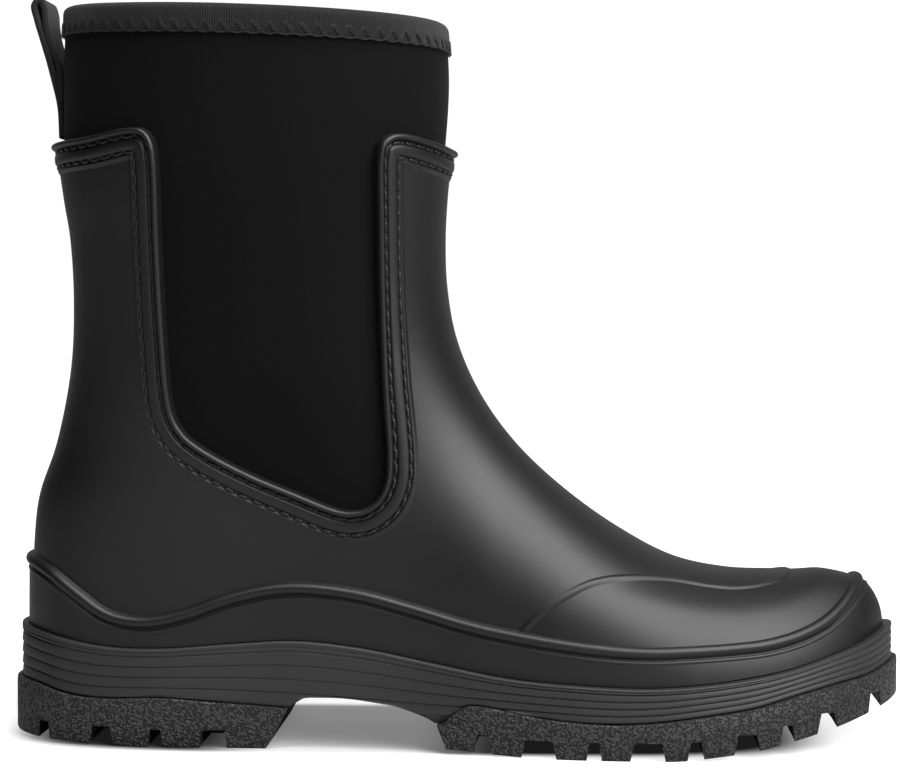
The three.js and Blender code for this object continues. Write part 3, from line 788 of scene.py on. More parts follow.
# %% Build upper and foxing
TRIM_COVER = 7.6
BEAD_TOP_COVER = 1.6
BEAD_LOW_COVER = 4.9


def upper_field(x, z):
    reach = np.where(inside(shell_side, x, z), distance_to(edge_line, x, z), -1)
    return np.minimum(reach - TRIM_COVER, z - bead_line(x) + BEAD_TOP_COVER)


def foxing_field(x, z):
    return np.minimum(bead_line(x) - BEAD_LOW_COVER - z, z - midsole_top(x) - FIT)


def dress(piece, material, slot, *nodes):
    """Give a piece its finish and its body, and hide the solids that it stands for."""
    if not piece.data.materials:
        piece.data.materials.append(material)
    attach(piece, "root")
    if nodes:
        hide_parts(*nodes)
    print("%s: %d faces" % (piece.name, len(piece.data.polygons)))
    return piece


dress(shell_part("shell", 0.0, upper_field), shell_rubber, "rubber", "upper")
dress(shell_part("foxing", FOXING_STEP, foxing_field), shell_rubber, "rubber", "upper")

# %% [markdown]
# Walking on the form.
# Trim, piping and stitches all lie at set distances from the cut edge, measured on the curved
# surface. A flat offset would slide off where the boot turns away at heel and shin. So each
# point of the edge walks over the form in small steps, square to the edge, and stops where it
# would come closer to another part of the edge: that makes the mitres in the corners.

# %% Trace a line and walk from it
def trace(line):
    """Level and turn along a line seen from the side, over the outer side only."""
    levels = np.linspace(0, 1, 2400)
    back, front = curve_at(back_points, levels), curve_at(front_points, levels)
    chord = front - back
    to_line = line[:, None] - back[None]
    above = chord[None, :, 0] * to_line[..., 1] - chord[None, :, 1] * to_line[..., 0]
    index = np.clip((above < 0).argmax(axis=1), 1, len(levels) - 1)
    row = np.arange(len(line))
    high, low = above[row, index - 1], above[row, index]
    level = levels[index - 1] + high / (high - low) * (levels[1] - levels[0])
    start = curve_at(back_points, level)
    run = curve_at(front_points, level) - start
    share = np.sum((line - start) * run, axis=1) / np.sum(run * run, axis=1)
    return level, share


def half_way(line, ends):
    """The traced line cut off at the heel line and the front line, ending exactly on them."""
    level, share = trace(line)
    valid = np.flatnonzero((share > 0) & (share < 1))
    first, last = valid[0], valid[-1]
    turn = np.arccos(2 * share[first:last + 1] - 1)
    level_cut = level[first:last + 1]
    if "back" in ends:
        level_cut, turn = np.append(level_cut[0], level_cut), np.append(math.pi, turn)
    if "front" in ends:
        level_cut, turn = np.append(level_cut, level_cut[-1]), np.append(turn, 0.0)
    return level_cut, turn


def even_loop(level, turn, spacing, closed):
    """Outer side, then inner side, at even steps over the surface."""
    level = np.concatenate([level, level[::-1][1:]])
    turn = np.concatenate([turn, -turn[::-1][1:]])
    points = form_point(level, turn)
    run = np.append(0, np.cumsum(np.linalg.norm(np.diff(points, axis=0), axis=1)))
    count = int(run[-1] / spacing)
    places = np.linspace(0, run[-1], count + 1)
    if closed:
        places = places[:-1]
    return np.interp(places, run, level), np.interp(places, run, turn), run[-1]


WALK_STEP = 0.25
# A walk stops where another part of its line is nearer than this share of the way, less a slack.
MITRE_SHARE = 0.975
MITRE_SLACK = 0.12


def step_on(level, turn, heading, size):
    """Move by size along a heading, keeping to the form."""
    rise, swing = 0.0008, 0.004
    d_level = (form_point(level + rise, turn) - form_point(level - rise, turn)) / (2 * rise)
    d_turn = (form_point(level, turn + swing) - form_point(level, turn - swing)) / (2 * swing)
    a = np.sum(d_level * d_level, axis=1)
    b = np.sum(d_level * d_turn, axis=1)
    c = np.sum(d_turn * d_turn, axis=1)
    e, f = np.sum(d_level * heading, axis=1), np.sum(d_turn * heading, axis=1)
    area = np.maximum(a * c - b * b, 1e-9)
    return level + size * (c * e - b * f) / area, turn + size * (a * f - b * e) / area


def walk(level, turn, reach, closed):
    """Levels and turns at every step out from the line, and how far each point got."""
    points = form_point(level, turn)
    if closed:
        ahead = np.roll(points, -1, axis=0) - np.roll(points, 1, axis=0)
    else:
        ahead = np.gradient(points, axis=0)
    heading = np.cross(ahead, form_normal(level, turn)) * math.copysign(1, reach)
    heading /= np.linalg.norm(heading, axis=1, keepdims=True)
    steps = int(abs(reach) / WALK_STEP)
    levels, angles, got = [level], [turn], np.full(len(level), float(steps))
    free = np.ones(len(level), bool)
    here = points
    for step in range(1, steps + 1):
        new_level, new_turn = step_on(levels[-1], angles[-1], heading, WALK_STEP)
        there = form_point(new_level, new_turn)
        nearest = np.linalg.norm(there[:, None] - points[None], axis=-1).min(axis=1)
        stop = free & (nearest < MITRE_SHARE * step * WALK_STEP - MITRE_SLACK)
        got[stop] = step - 1
        free &= ~stop
        levels.append(np.where(free, new_level, levels[-1]))
        angles.append(np.where(free, new_turn, angles[-1]))
        moved = there - here
        length = np.linalg.norm(moved, axis=1, keepdims=True)
        heading = np.where(free[:, None], moved / np.maximum(length, 1e-9), heading)
        here = np.where(free[:, None], there, here)
    return np.array(levels), np.array(angles), got * WALK_STEP


def at_distance(walked, distance, height):
    """Points of the walk at a distance from its line, raised off the form."""
    levels, angles, got = walked
    place = np.minimum(abs(distance), got) / WALK_STEP
    low = np.minimum(place.astype(int), len(levels) - 2)
    part = place - low
    column = np.arange(len(got))
    level = mix(levels[low, column], levels[low + 1, column], part)
    turn = mix(angles[low, column], angles[low + 1, column], part)
    return off_form(level, turn, height), form_normal(level, turn)


EDGE_SPACING = 0.9
edge_path = smooth_line(on_shell(SHELL_EDGE), 20)
edge_half = half_way(edge_path, ("back", "front"))
edge_level, edge_turn, edge_length = even_loop(*edge_half, EDGE_SPACING, True)
print("cut edge: %.0f mm round, %d points" % (edge_length, len(edge_level)))

# %% [markdown]
# The raised trim.
# Along the whole cut edge runs a round piping, a sunk stitch channel, a flat band, a second
# stitch channel and a thin lip that fades into the shell. It is one profile drawn once, as a
# list of distance and height, and carried round the edge. A bevelled curve could carry it too,
# but would twist at the corners and not follow the form.

# %% Sweep the trim
# Distance from the cut edge, height above the form.
TRIM_PROFILE = [
    (0.0, -2.3), (0.0, -1.2), (0.0, 0.0), (0.0, 0.7), (0.12, 1.25), (0.4, 1.75), (0.8, 2.05),
    (1.2, 2.1), (1.6, 1.95), (1.95, 1.6), (2.2, 1.1), (2.4, 0.55), (2.65, 0.3), (3.1, 0.22),
    (3.5, 0.3), (3.75, 0.65), (3.95, 0.95), (4.3, 1.1), (5.0, 1.2), (5.8, 1.24), (6.6, 1.18),
    (7.1, 1.02), (7.4, 0.75), (7.6, 0.4), (7.9, 0.16), (8.4, 0.14), (8.75, 0.22), (8.95, 0.5),
    (9.25, 0.62), (9.6, 0.52), (10.1, 0.28), (10.7, 0.02), (11.2, -0.2),
]
TRIM_REACH = 11.5
edge_walk = walk(edge_level, edge_turn, TRIM_REACH, True)
trim_grid = np.array([at_distance(edge_walk, s, h)[0] for s, h in TRIM_PROFILE])
dress(piece_from_grid("shell_trim", trim_grid[::-1]), shell_rubber, "rubber", "upper")

# %% [markdown]
# The bead.
# A rounded ridge waves up over heel and arch and climbs round the toe, with a fine groove under
# it. It hides the step between foxing and upper. It is swept with the same walk as the trim, so
# it keeps its width where the boot curves.

# %% Sweep the bead
# Distance down from the bead line, height above the form.
BEAD_PROFILE = [
    (-0.5, -0.35), (-0.2, 0.05), (0.0, 0.6), (0.3, 1.35), (0.75, 2.0), (1.35, 2.45), (2.05, 2.62),
    (2.75, 2.5), (3.3, 2.15), (3.75, 1.7), (4.05, 1.25), (4.35, 1.0), (4.65, 1.2), (4.9, 1.62),
    (5.25, 1.82), (5.65, 1.7), (6.1, 1.42), (6.6, 1.25),
]
BEAD_SPACING = 1.3
BEAD_REACH = {"down": 6.75, "up": -0.75}
bead_path = smooth_line(on_shell(BEAD_LINE), 30)
bead_half = half_way(bead_path, ("back", "front"))
bead_level, bead_turn, bead_length = even_loop(*bead_half, BEAD_SPACING, True)
bead_down = walk(bead_level, bead_turn, BEAD_REACH["down"], True)
bead_up = walk(bead_level, bead_turn, BEAD_REACH["up"], True)
bead_grid = [at_distance(bead_down if s >= 0 else bead_up, s, h)[0] for s, h in BEAD_PROFILE]
dress(piece_from_grid("bead", np.array(bead_grid)[::-1]), shell_rubber, "rubber", "upper")
print("bead: %.0f mm round" % bead_length)

# %% [markdown]
# Moulded stitches.
# The two channels hold a row of short stitches each, cast in the same rubber. Each is a little
# capsule pressed into the channel, following the edge, with a dark gap to the next. One mesh
# holds them all.

# %% Stitch rows
STITCH_PITCH = 5.0
STITCH_LENGTH = 3.7
STITCH_RADIUS = 0.62
STITCH_RINGS = 9
STITCH_SIDES = 8
# Each row: distance from the cut edge, height above the form.
STITCH_ROWS = [(3.1, 0.5), (8.2, 0.42)]


def stitch_row(distance, height):
    """Rings of points for every stitch of a row at a distance from the cut edge."""
    path, normals = at_distance(edge_walk, distance, height)
    loop = np.vstack([path, path[:1]])
    run = np.append(0, np.cumsum(np.linalg.norm(np.diff(loop, axis=0), axis=1)))
    count = int(run[-1] / STITCH_PITCH)
    outward = np.vstack([normals, normals[:1]])
    swell = np.sqrt(np.clip(1 - np.linspace(-1, 1, STITCH_RINGS) ** 4, 0.02, 1)) * STITCH_RADIUS
    grids = []
    for k in range(count):
        middle = (k + 0.5) * run[-1] / count
        places = middle + np.linspace(-0.5, 0.5, STITCH_RINGS) * STITCH_LENGTH
        centres = np.column_stack([np.interp(places, run, values) for values in loop.T])
        outs = np.column_stack([np.interp(places, run, values) for values in outward.T])
        grids.append(tube_grid(centres, outs, swell, STITCH_SIDES, flat=0.75))
    return grids


def tubes_piece(name, grids, closed):
    """One mesh of many tubes, each joined end to end or capped at both ends."""
    points, faces, base = [], [], 0
    for grid in grids:
        length, sides = grid.shape[:2]
        quads = grid_faces(length + closed, sides, True) % (length * sides)
        faces += (quads + base).tolist()
        if not closed:
            rim = np.arange(sides)
            faces += [(rim + base).tolist(), (rim[::-1] + base + (length - 1) * sides).tolist()]
        points.append(grid.reshape(-1, 3))
        base += length * sides
    return object_from(name, np.vstack(points), faces, turn=True)


stitches = [grid for row in STITCH_ROWS for grid in stitch_row(*row)]
dress(tubes_piece("moulded_stitches", stitches, False), shell_rubber, "rubber")
print("moulded stitches:", len(stitches))

# %% [markdown]
# The line over the toes.
# The overlay ends in a thin soft ridge that catches the light. It is swept along the toe line
# with the same walk, to both sides of the line, and sinks into the shell at its borders.

# %% Toe ridge
RIDGE_PROFILE = [
    (-2.0, -0.25), (-1.3, 0.02), (-0.8, 0.3), (-0.3, 0.5), (0.0, 0.54), (0.3, 0.52), (0.8, 0.36),
    (1.3, 0.12), (2.0, -0.2),
]
RIDGE_REACH = 2.25
toe_half = half_way(smooth_line(on_shell(TOE_LINE), 30), ("front",))
toe_level, toe_turn, toe_length = even_loop(*toe_half, EDGE_SPACING, False)
out_walk = walk(toe_level, toe_turn, -RIDGE_REACH, False)
in_walk = walk(toe_level, toe_turn, RIDGE_REACH, False)
ridge_grid = []
for distance, height in RIDGE_PROFILE:
    side_walk = in_walk if distance >= 0 else out_walk
    overlay = toe_lift(at_distance(side_walk, distance, 0.0)[0])
    ridge_grid.append(at_distance(side_walk, distance, height + overlay)[0])
toe_ridge = piece_from_grid("toe_ridge", np.array(ridge_grid)[::-1], wrap=False)
dress(toe_ridge, shell_rubber, "rubber")
print("toe line: %.0f mm long" % toe_length)

# %% [markdown]
# The shaft and its lining.
# Inside the shell stands a tube of neoprene, bare in the U on each side and above the shell. It
# is thick foam, so it has two faces and a top edge. Below it, deep in the foot, the inside of
# the shell shows when one looks down into the boot, and gets a plain lining.

# %% Shaft
SHAFT_OUTSIDE = -SHELL_WALL - FIT
SHAFT_INSIDE = SHAFT_OUTSIDE - SHAFT_WALL
SHAFT_AROUND = 220
SHAFT_ROWS = {"outer": 110, "inner": 60}
LINING_AROUND = 120
LINING_ROWS = 40
LINING_OVERLAP = 9


def banded(count, bottom, top, offset, turned):
    """Rows of points between two lines, at an offset from the form."""
    low = levels_where(turned, bottom, offset=offset)
    high = levels_where(turned, top, offset=offset)
    shares = np.linspace(0, 1, count)
    return np.array([off_form(mix(low, high, share), turned, offset) for share in shares])


def build_shaft():
    turned = turns_of(SHAFT_AROUND)
    foot = lambda x: np.full_like(x, lift(SHAFT_FOOT))
    top = lambda x: collar_line(x) - BINDING_WALL - FIT
    outer = banded(SHAFT_ROWS["outer"], foot, top, SHAFT_OUTSIDE, turned)
    inner = banded(SHAFT_ROWS["inner"], foot, top, SHAFT_INSIDE, turned)
    return piece_from_grid("neoprene_shaft", np.concatenate([inner[:1], outer, inner[::-1]]))


shaft = dress(build_shaft(), neoprene, "neoprene", "shaft")


def build_lining():
    turned = turns_of(LINING_AROUND)
    top = lambda x: np.full_like(x, lift(SHAFT_FOOT) + LINING_OVERLAP)
    foot = lambda x: midsole_top(x) + 2 * FIT
    return piece_from_grid("shell_lining", banded(LINING_ROWS, foot, top, -SHELL_WALL, turned)[::-1])


dress(build_lining(), foam_top, "insole")

# %% [markdown]
# The collar binding.
# A ribbed tape is folded over the top edge and sewn down with a zigzag. Its section is a narrow
# hairpin: up the outside, round the top and down the inside, with the lower edges turned in.
# The ribs come from the finish, since they are half a millimetre wide, but the scalloped lower
# edge, drawn in by each stitch, is modelled.

# %% Binding
BINDING_AROUND = 560
ZIGZAG_PITCH = 5.3
SCALLOP = 0.35
SCALLOP_FROM = 8.1
PINCH = 0.16
PINCH_DROP = 7.2
# Height from the collar line, offset from the form.
BINDING_PROFILE = [
    (-9.95, -2.6), (-10.0, -2.2), (-9.8, -1.9), (-9.3, -1.72), (-7.6, -1.66), (-5.6, -1.64),
    (-3.6, -1.6), (-2.2, -1.62), (-1.3, -1.8), (-0.6, -2.3), (-0.2, -3.0), (0.0, -4.3),
    (-0.2, -5.6), (-0.6, -6.4), (-1.3, -6.9), (-2.4, -7.1), (-5.0, -7.15), (-9.3, -7.1),
    (-9.9, -6.8), (-10.0, -6.2),
]
round_turns = turns_of(BINDING_AROUND)
collar_points = form_point(levels_where(round_turns, collar_line, near=COLLAR_LEVELS), round_turns)
collar_steps = np.diff(np.vstack([collar_points, collar_points[:1]]), axis=0)
collar_run = np.append(0, np.cumsum(np.linalg.norm(collar_steps, axis=1)))
zigzags = round(collar_run[-1] / ZIGZAG_PITCH)
zigzag_phase = collar_run[:-1] / collar_run[-1] * zigzags * 2 * math.pi


def build_binding():
    """Each stitch draws the lower edge up a little and pinches the tape above it."""
    scallop = 0.5 - 0.5 * np.cos(zigzag_phase)
    grid = []
    for height, offset in BINDING_PROFILE:
        outside = offset > -4
        low = np.clip((-height - SCALLOP_FROM) / 1.9, 0, 1)
        drawn_up = SCALLOP * scallop * low if outside else 0.0
        pinch = PINCH * scallop * np.exp(-((height + PINCH_DROP) / 1.8) ** 2) if outside else 0.0
        level = levels_where(round_turns, collar_line, -height, offset, COLLAR_LEVELS)
        point = off_form(level, round_turns, offset - pinch)
        point[:, 2] += drawn_up
        grid.append(point)
    return piece_from_grid("collar_tape", np.array(grid))


dress(build_binding(), ribbed_tape, "binding", "collar_binding")
print("collar: %.0f mm round, %d zigzags" % (collar_run[-1], zigzags))

# %% [markdown]
# The zigzag.
# Two threads run up and down over the lower part of the tape and one runs along its edge. They
# are thin tubes on a path drawn in the tape's own directions, round and up, so they bend with
# the collar.

# %% Zigzag thread
THREAD_OFFSET = -1.45
THREAD_RADIUS = 0.17
THREAD_SHIFTS = (0.0, 0.55, -0.55)
THREAD_SIDES = 5
ZIGZAG_HEIGHTS = (-9.2, -5.6)
EDGE_HEIGHT = -9.75
EDGE_RADIUS = 0.2
# The tape's levels are worked out at two drops below the collar line, and mixed between them.
DROP_HIGH, DROP_LOW = 2.0, 11.0
thread_levels = [levels_where(round_turns, collar_line, drop, THREAD_OFFSET, COLLAR_LEVELS)
                 for drop in (DROP_HIGH, DROP_LOW)]


def on_collar(distance, height):
    """Points on the tape: distance round the collar, height from its top."""
    turn = np.interp(distance % collar_run[-1], collar_run, np.append(round_turns, 2 * math.pi))
    high, low = (np.interp(turn, round_turns, table, period=2 * math.pi) for table in thread_levels)
    level = mix(high, low, (-height - DROP_HIGH) / (DROP_LOW - DROP_HIGH))
    return off_form(level, turn, THREAD_OFFSET), form_normal(level, turn)


def round_collar(steps):
    """Distances round the collar, a number of steps to each zigzag, and where each zigzag is."""
    run = np.linspace(0, collar_run[-1], zigzags * steps + 1)[:-1]
    return run, run / collar_run[-1] * zigzags


def zigzag(shift):
    run, place = round_collar(12)
    swing = np.abs(2 * (place % 1) - 1)
    points, normals = on_collar(run + shift, mix(*ZIGZAG_HEIGHTS, swing))
    return tube_grid(points, normals, THREAD_RADIUS, THREAD_SIDES, closed=True)


def edge_thread():
    run, place = round_collar(10)
    wave = EDGE_HEIGHT + 0.5 * (0.5 - 0.5 * np.cos(place * 2 * math.pi))
    points, normals = on_collar(run, wave)
    return tube_grid(points, normals, EDGE_RADIUS, THREAD_SIDES, closed=True)


threads = [zigzag(shift) for shift in THREAD_SHIFTS] + [edge_thread()]
dress(tubes_piece("zigzag_thread", threads, True), thread, "binding")

# %% [markdown]
# The pull loop.
# A strip of webbing is sewn up the back, stands off as a loop, turns tightly at the top and comes
# down again close inside itself. It is drawn as a side-view line and given its width across the
# boot. Where it lies on the shaft it takes on the shaft's roundness; where it stands free it
# stays flat.

# %% Pull loop
HEEL_RADIUS = 46.0
LOOP_EASE = 4.5
LOOP_EDGE = 0.28


def build_loop():
    line = smooth_line(on_shell(LOOP_OUTER), 14)
    ahead = np.gradient(line, axis=0)
    ahead /= np.linalg.norm(ahead, axis=1, keepdims=True)
    inward = np.column_stack([ahead[:, 1], -ahead[:, 0]])
    side = np.linspace(-1, 1, 25)
    half = LOOP_WIDTH / 2
    heel = back_at(line[:, 1])
    worn = 1 - ease((heel - SHAFT_OUTSIDE - line[:, 0]) / LOOP_EASE)
    sag = half ** 2 / (2 * HEEL_RADIUS)

    def sheet(depth):
        rows = []
        for place, normal, lie in zip(line, inward, worn):
            x = place[0] + normal[0] * depth + lie * sag * side ** 2
            z = np.full_like(side, place[1] + normal[1] * depth)
            rows.append(np.stack([x, side * half, z], axis=-1))
        return np.array(rows)

    outer, inner = sheet(0.0), sheet(WEBBING)
    rim = sheet(WEBBING / 2)
    outer[:, [0, -1], 1] *= 1 - LOOP_EDGE / half
    inner[:, [0, -1], 1] *= 1 - LOOP_EDGE / half
    ring = np.concatenate([outer, rim[:, -1:], inner[:, ::-1], rim[:, :1]], axis=1)
    return piece_from_grid("pull_tape", ring)


dress(build_loop(), webbing, "webbing", "pull_loop")

# %% [markdown]
# The midsole.
# Between shell and tread runs a wall of flat ribs with thin grooves, and a rounded lip on top.
# The outline of the foot is carried up through one profile of insets, squeezed and stretched
# between two lines. The ribs run on level through the arch, so their lower line is a calmer one
# than the midsole's own, and where the sole steps up past it they end on the step.

# %% Midsole
SOLE_AROUND = 420
RIB_COUNT = 4
LIP_SHARE = 0.16
# One rib: share of its height, inset.
RIB = [
    (0.0, 0.62), (0.04, 0.4), (0.09, 0.08), (0.16, 0.0), (0.5, 0.12), (0.86, 0.3), (0.93, 0.36),
    (0.97, 0.6),
]
# The lip above the ribs: share of its height, inset.
LIP = [
    (0.0, 0.85), (0.1, 0.3), (0.2, 0.05), (0.34, 0.0), (0.42, 0.35), (0.5, 0.35), (0.58, 0.0),
    (0.8, 0.02), (0.92, 0.2), (0.98, 0.6), (1.0, 1.3), (1.0, 5.0), (1.0, 11.0),
]
BASE_INSETS = (12, 0.3)
# The lower line of the ribs.
RIB_FLOOR = [
    (0, 0.56), (0.04, 0.545), (0.065, 0.495), (0.09, 0.46), (0.12, 0.447), (0.18, 0.45),
    (0.25, 0.425), (0.31, 0.39), (0.4, 0.355), (0.49, 0.345), (0.57, 0.36), (0.608, 0.35),
    (0.67, 0.33), (0.72, 0.347), (0.78, 0.408), (0.83, 0.467), (0.875, 0.56), (0.925, 0.64),
    (0.96, 0.68), (1, 0.77),
]


def sole_ring(inset, height_at):
    turned = turns_of(SOLE_AROUND)
    share = (1 + np.cos(turned)) / 2
    x = mix(along(0) + inset, along(1) - inset, share)
    across = np.where(turned <= math.pi, outline_outer(share), outline_inner(share))
    return np.column_stack([x, across * (SOLE_WIDTH - 2 * inset), height_at(x)])


rib_floor = sole_reader(RIB_FLOOR)


def between(level):
    """A height at a share of the way up the ribs, never below the midsole's own lower line."""
    def height_at(x):
        return np.maximum(mix(rib_floor(x), midsole_top(x), level), midsole_bottom(x) + level * 0.01)

    return height_at


def build_midsole():
    rib_height = (1 - LIP_SHARE) / RIB_COUNT
    rings = []
    for rib in range(RIB_COUNT):
        rings += [(MIDSOLE_INSET + inset, (rib + share) * rib_height) for share, inset in RIB]
    lip_foot = 1 - LIP_SHARE
    rings += [(MIDSOLE_INSET + inset, lip_foot + LIP_SHARE * share) for share, inset in LIP]
    grid = [sole_ring(MIDSOLE_INSET + inset, midsole_bottom) for inset in BASE_INSETS]
    grid = np.array(grid + [sole_ring(inset, between(level)) for inset, level in rings])
    return piece_from_grid("ribbed_midsole", grid, caps=[(0, False), (len(grid) - 1, True)])


dress(build_midsole(), side_rubber, "sole", "midsole")

# %% [markdown]
# The outsole.
# Two blocks of coarse rubber, heel and forefoot, are parted by the arch. Their lower edges are
# cut by lug gaps, wide and narrow by turns, deep at the side and shallow across the middle.
# The block is a ring grid again, and the gaps are taken out of it with booleans, the one tool
# that gives square walls and sharp corners. A fine bevel then softens the corners as moulding
# does.

# %% Outsole blocks
# The block's rings: inset, rise, and share of the way from tread to top.
BLOCK_RINGS = [
    (0.9, 0.0, 0.0), (0.25, 0.25, 0.0), (0.0, 0.8, 0.0), (0.0, 0.0, 0.5), (0.0, -1.4, 1.0),
    (0.1, -1.15, 1.0), (0.12, -0.35, 1.0), (0.6, 0.0, 1.0),
]
BLOCK_BEVEL = 0.4
CORE_FOOT = -20.0


def prism(name, outlines):
    """Side-view outlines as solids that reach past both sides of the boot."""
    points, faces, base = [], [], 0
    for outline in outlines:
        count = len(outline)
        for side in (-SOLE_WIDTH, SOLE_WIDTH):
            points += [(x, side, z) for x, z in outline]
        faces.append([base + i for i in range(count)])
        faces.append([base + count + i for i in range(count)][::-1])
        for i in range(count):
            after = (i + 1) % count
            faces.append([base + after, base + i, base + count + i, base + count + after])
        base += 2 * count
    return object_from(name, points, faces, turn=True)


def cut(target, tool, operation):
    """Apply a boolean and drop the tool."""
    step = target.modifiers.new("cut", "BOOLEAN")
    step.operation = operation
    step.solver = "EXACT"
    step.object = tool
    apply_all(target)
    bpy.data.objects.remove(tool)


def apply_all(piece):
    bpy.context.view_layer.update()
    evaluated = piece.evaluated_get(bpy.context.evaluated_depsgraph_get())
    mesh = bpy.data.meshes.new_from_object(evaluated)
    piece.modifiers.clear()
    piece.data = mesh


def gap_outlines(height):
    outlines = []
    for middle, ground, top in LUG_GAPS:
        x = float(along(middle))
        z = float(tread(x))
        low = ground / 2 + (ground - top) / 2
        outlines.append([(x - low, z - height), (x + low, z - height), (x + top / 2, z + height),
                         (x - top / 2, z + height)])
    return outlines


def outsole_block(name):
    top = lambda x: midsole_bottom(x) - FIT
    grid = np.array([sole_ring(inset, lambda x, r=rise, s=share: mix(tread(x), top(x), s) + r)
                     for inset, rise, share in BLOCK_RINGS])
    return piece_from_grid(name, grid, caps=[(0, False), (len(grid) - 1, True)])


def build_outsole(name, clip):
    block = outsole_block(name)
    core_rings = [sole_ring(LUG_REACH, lambda x, z=z: np.full_like(x, z))
                  for z in (CORE_FOOT, SOLE_DEPTH)]
    core = piece_from_grid("core", core_rings, caps=[(0, False), (1, True)])
    deep = prism("deep_gaps", gap_outlines(LUG_DEPTH))
    cut(deep, core, "DIFFERENCE")
    cut(block, deep, "DIFFERENCE")
    cut(block, prism("shallow_gaps", gap_outlines(TREAD_DEPTH)), "DIFFERENCE")
    cut(block, prism("clip", [clip]), "INTERSECT")
    edge = block.modifiers.new("edge", "BEVEL")
    edge.width = BLOCK_BEVEL * METRES
    edge.segments = 2
    edge.limit_method = "ANGLE"
    edge.angle_limit = math.radians(50)
    apply_all(block)
    block.data.polygons.foreach_set("use_smooth", [True] * len(block.data.polygons))
    block.data.set_sharp_from_angle(angle=math.radians(38))
    return block


heel_top, heel_bottom = (float(along(HEEL_BREAST[key])) for key in ("top", "bottom"))
fore_top, fore_bottom = (float(along(FOREFOOT_START[key])) for key in ("top", "bottom"))
heel_clip = [
    (-far, -SOLE_DEPTH), (2 * heel_bottom - heel_top, -SOLE_DEPTH), (heel_bottom, 0.0),
    (heel_top, SOLE_DEPTH * HEEL_BREAST["corner"]), (heel_top, SOLE_DEPTH), (-far, SOLE_DEPTH),
]
fore_clip = [
    (far, SOLE_DEPTH), (fore_top, SOLE_DEPTH), (fore_top, SOLE_DEPTH * FOREFOOT_START["shoulder"]),
    (fore_bottom, SOLE_DEPTH * FOREFOOT_START["corner"]), (fore_bottom, -SOLE_DEPTH),
    (far, -SOLE_DEPTH),
]
dress(build_outsole("tread_heel", heel_clip), sole_rubber, "sole", "outsole_heel")
dress(build_outsole("tread_forefoot", fore_clip), sole_rubber, "sole", "outsole_forefoot")

# %% [markdown]
# The insole.
# A thin foam sock lies on the floor of the boot, seen only from above. Its edges curl up a
# little against the wall, so it is a dished sheet with thickness, not a flat plate.

# %% Insole
INSOLE_AROUND = 120
# Height above the shell's floor, distance in from its wall.
INSOLE_PROFILE = [
    (0.0, 1.0), (0.4, 0.2), (1.5, 0.0), (3.9, 0.0), (4.6, 0.7), (4.7, 1.6), (4.3, 4.0),
    (4.0, 8.0), (3.8, 14.0),
]


def build_insole():
    turned = turns_of(INSOLE_AROUND)
    wall = -SHELL_WALL - 2 * FIT
    rings = []
    for height, inward in INSOLE_PROFILE:
        level = levels_where(turned, lambda x, h=height: midsole_top(x) + FIT + h)
        rings.append(off_form(level, turned, wall - inward))
    grid = np.array(rings)
    return piece_from_grid("insole_pad", grid, caps=[(0, False), (len(rings) - 1, True)])


insole = dress(build_insole(), foam_top, "insole", "insole")

# %% [markdown]
# Stage, camera and light.
# Black rubber is drawn by its reflections, so the light matters as much as the finish: one large
# soft source up on the right for the broad grey on instep and toe, a narrow one above for the
# crests of bead and piping, and a surround that is white behind the boot, for thin bright rims,
# and dark in front. The floor glows white for the camera alone. Where the sole stands, a shadow
# is painted on the floor in both its colour and its glow. It is dark under the lugs and lighter
# grey under the arch, and the glow fades a little towards the boot as a soft painted shadow,
# since a glowing floor would leave no shadow in the gaps between the lugs.

# %% Floor and surround
SURROUND_FRONT = 0.012
SURROUND_BACK = 0.36
SURROUND_TURNS = (0.35, 0.85)
SURROUND_SEEN = 1.05
FLOOR_GLOW = 1.02
FLOOR_HALF = 6.0
# The painted shadow under the sole, and its lighter grey part under the arch, in metres.
SHADOW_PATCH = {"middle": -0.014, "half_length": 0.134, "half_width": 0.046}
ARCH = {"middle": -0.035, "inner": 0.02, "outer": 0.055}


def build_floor():
    mesh = bpy.data.meshes.new("floor")
    corners = [(x * FLOOR_HALF, y * FLOOR_HALF, 0) for x, y in ((-1, -1), (1, -1), (1, 1), (-1, 1))]
    mesh.from_pydata(corners, [], [(0, 1, 2, 3)])
    floor = bpy.data.objects.new("floor", mesh)
    bpy.context.scene.collection.objects.link(floor)
    paper = Finish("white_floor_painted_shadow", Roughness=0.9, Emission_Strength=FLOOR_GLOW)
    place = paper.place()
    length, width = paper.split(place, 0), paper.split(place, 1)
    along_patch = (length - SHADOW_PATCH["middle"]) / SHADOW_PATCH["half_length"]
    reach = (along_patch ** 4 + (width / SHADOW_PATCH["half_width"]) ** 4) ** 0.25
    # clear is 1 outside the painted shadow under the sole and 0 inside it; covered is its lighter grey
    # part under the arch.
    clear = paper.ramp(reach, 0.9, 1.1)
    from_arch = length - ARCH["middle"]
    arch = 1 - paper.ramp((from_arch * from_arch) ** 0.5, ARCH["inner"], ARCH["outer"])
    covered = (1 - clear) * arch
    # The glow is full white away from the boot and a little dimmer close to it. It is dark under the
    # sole and grey under the arch: painted shadow.
    glow_with_painted_shadow = clear * 0.8 + paper.ramp(reach, 1.1, 3.5) * 0.2 + covered * 0.2
    seen = paper.node("LightPath")
    # The base colour is dark under the sole except below the arch, which is a painted contact shadow.
    paper.set("Base Color", paper.blend(clear + covered, (0.03, 0.03, 0.03), (0.44, 0.44, 0.44)))
    paper.set("Emission Color", paper.blend(seen * glow_with_painted_shadow, (0.01, 0.01, 0.01), (1, 1, 1)))
    mesh.materials.append(paper.material)


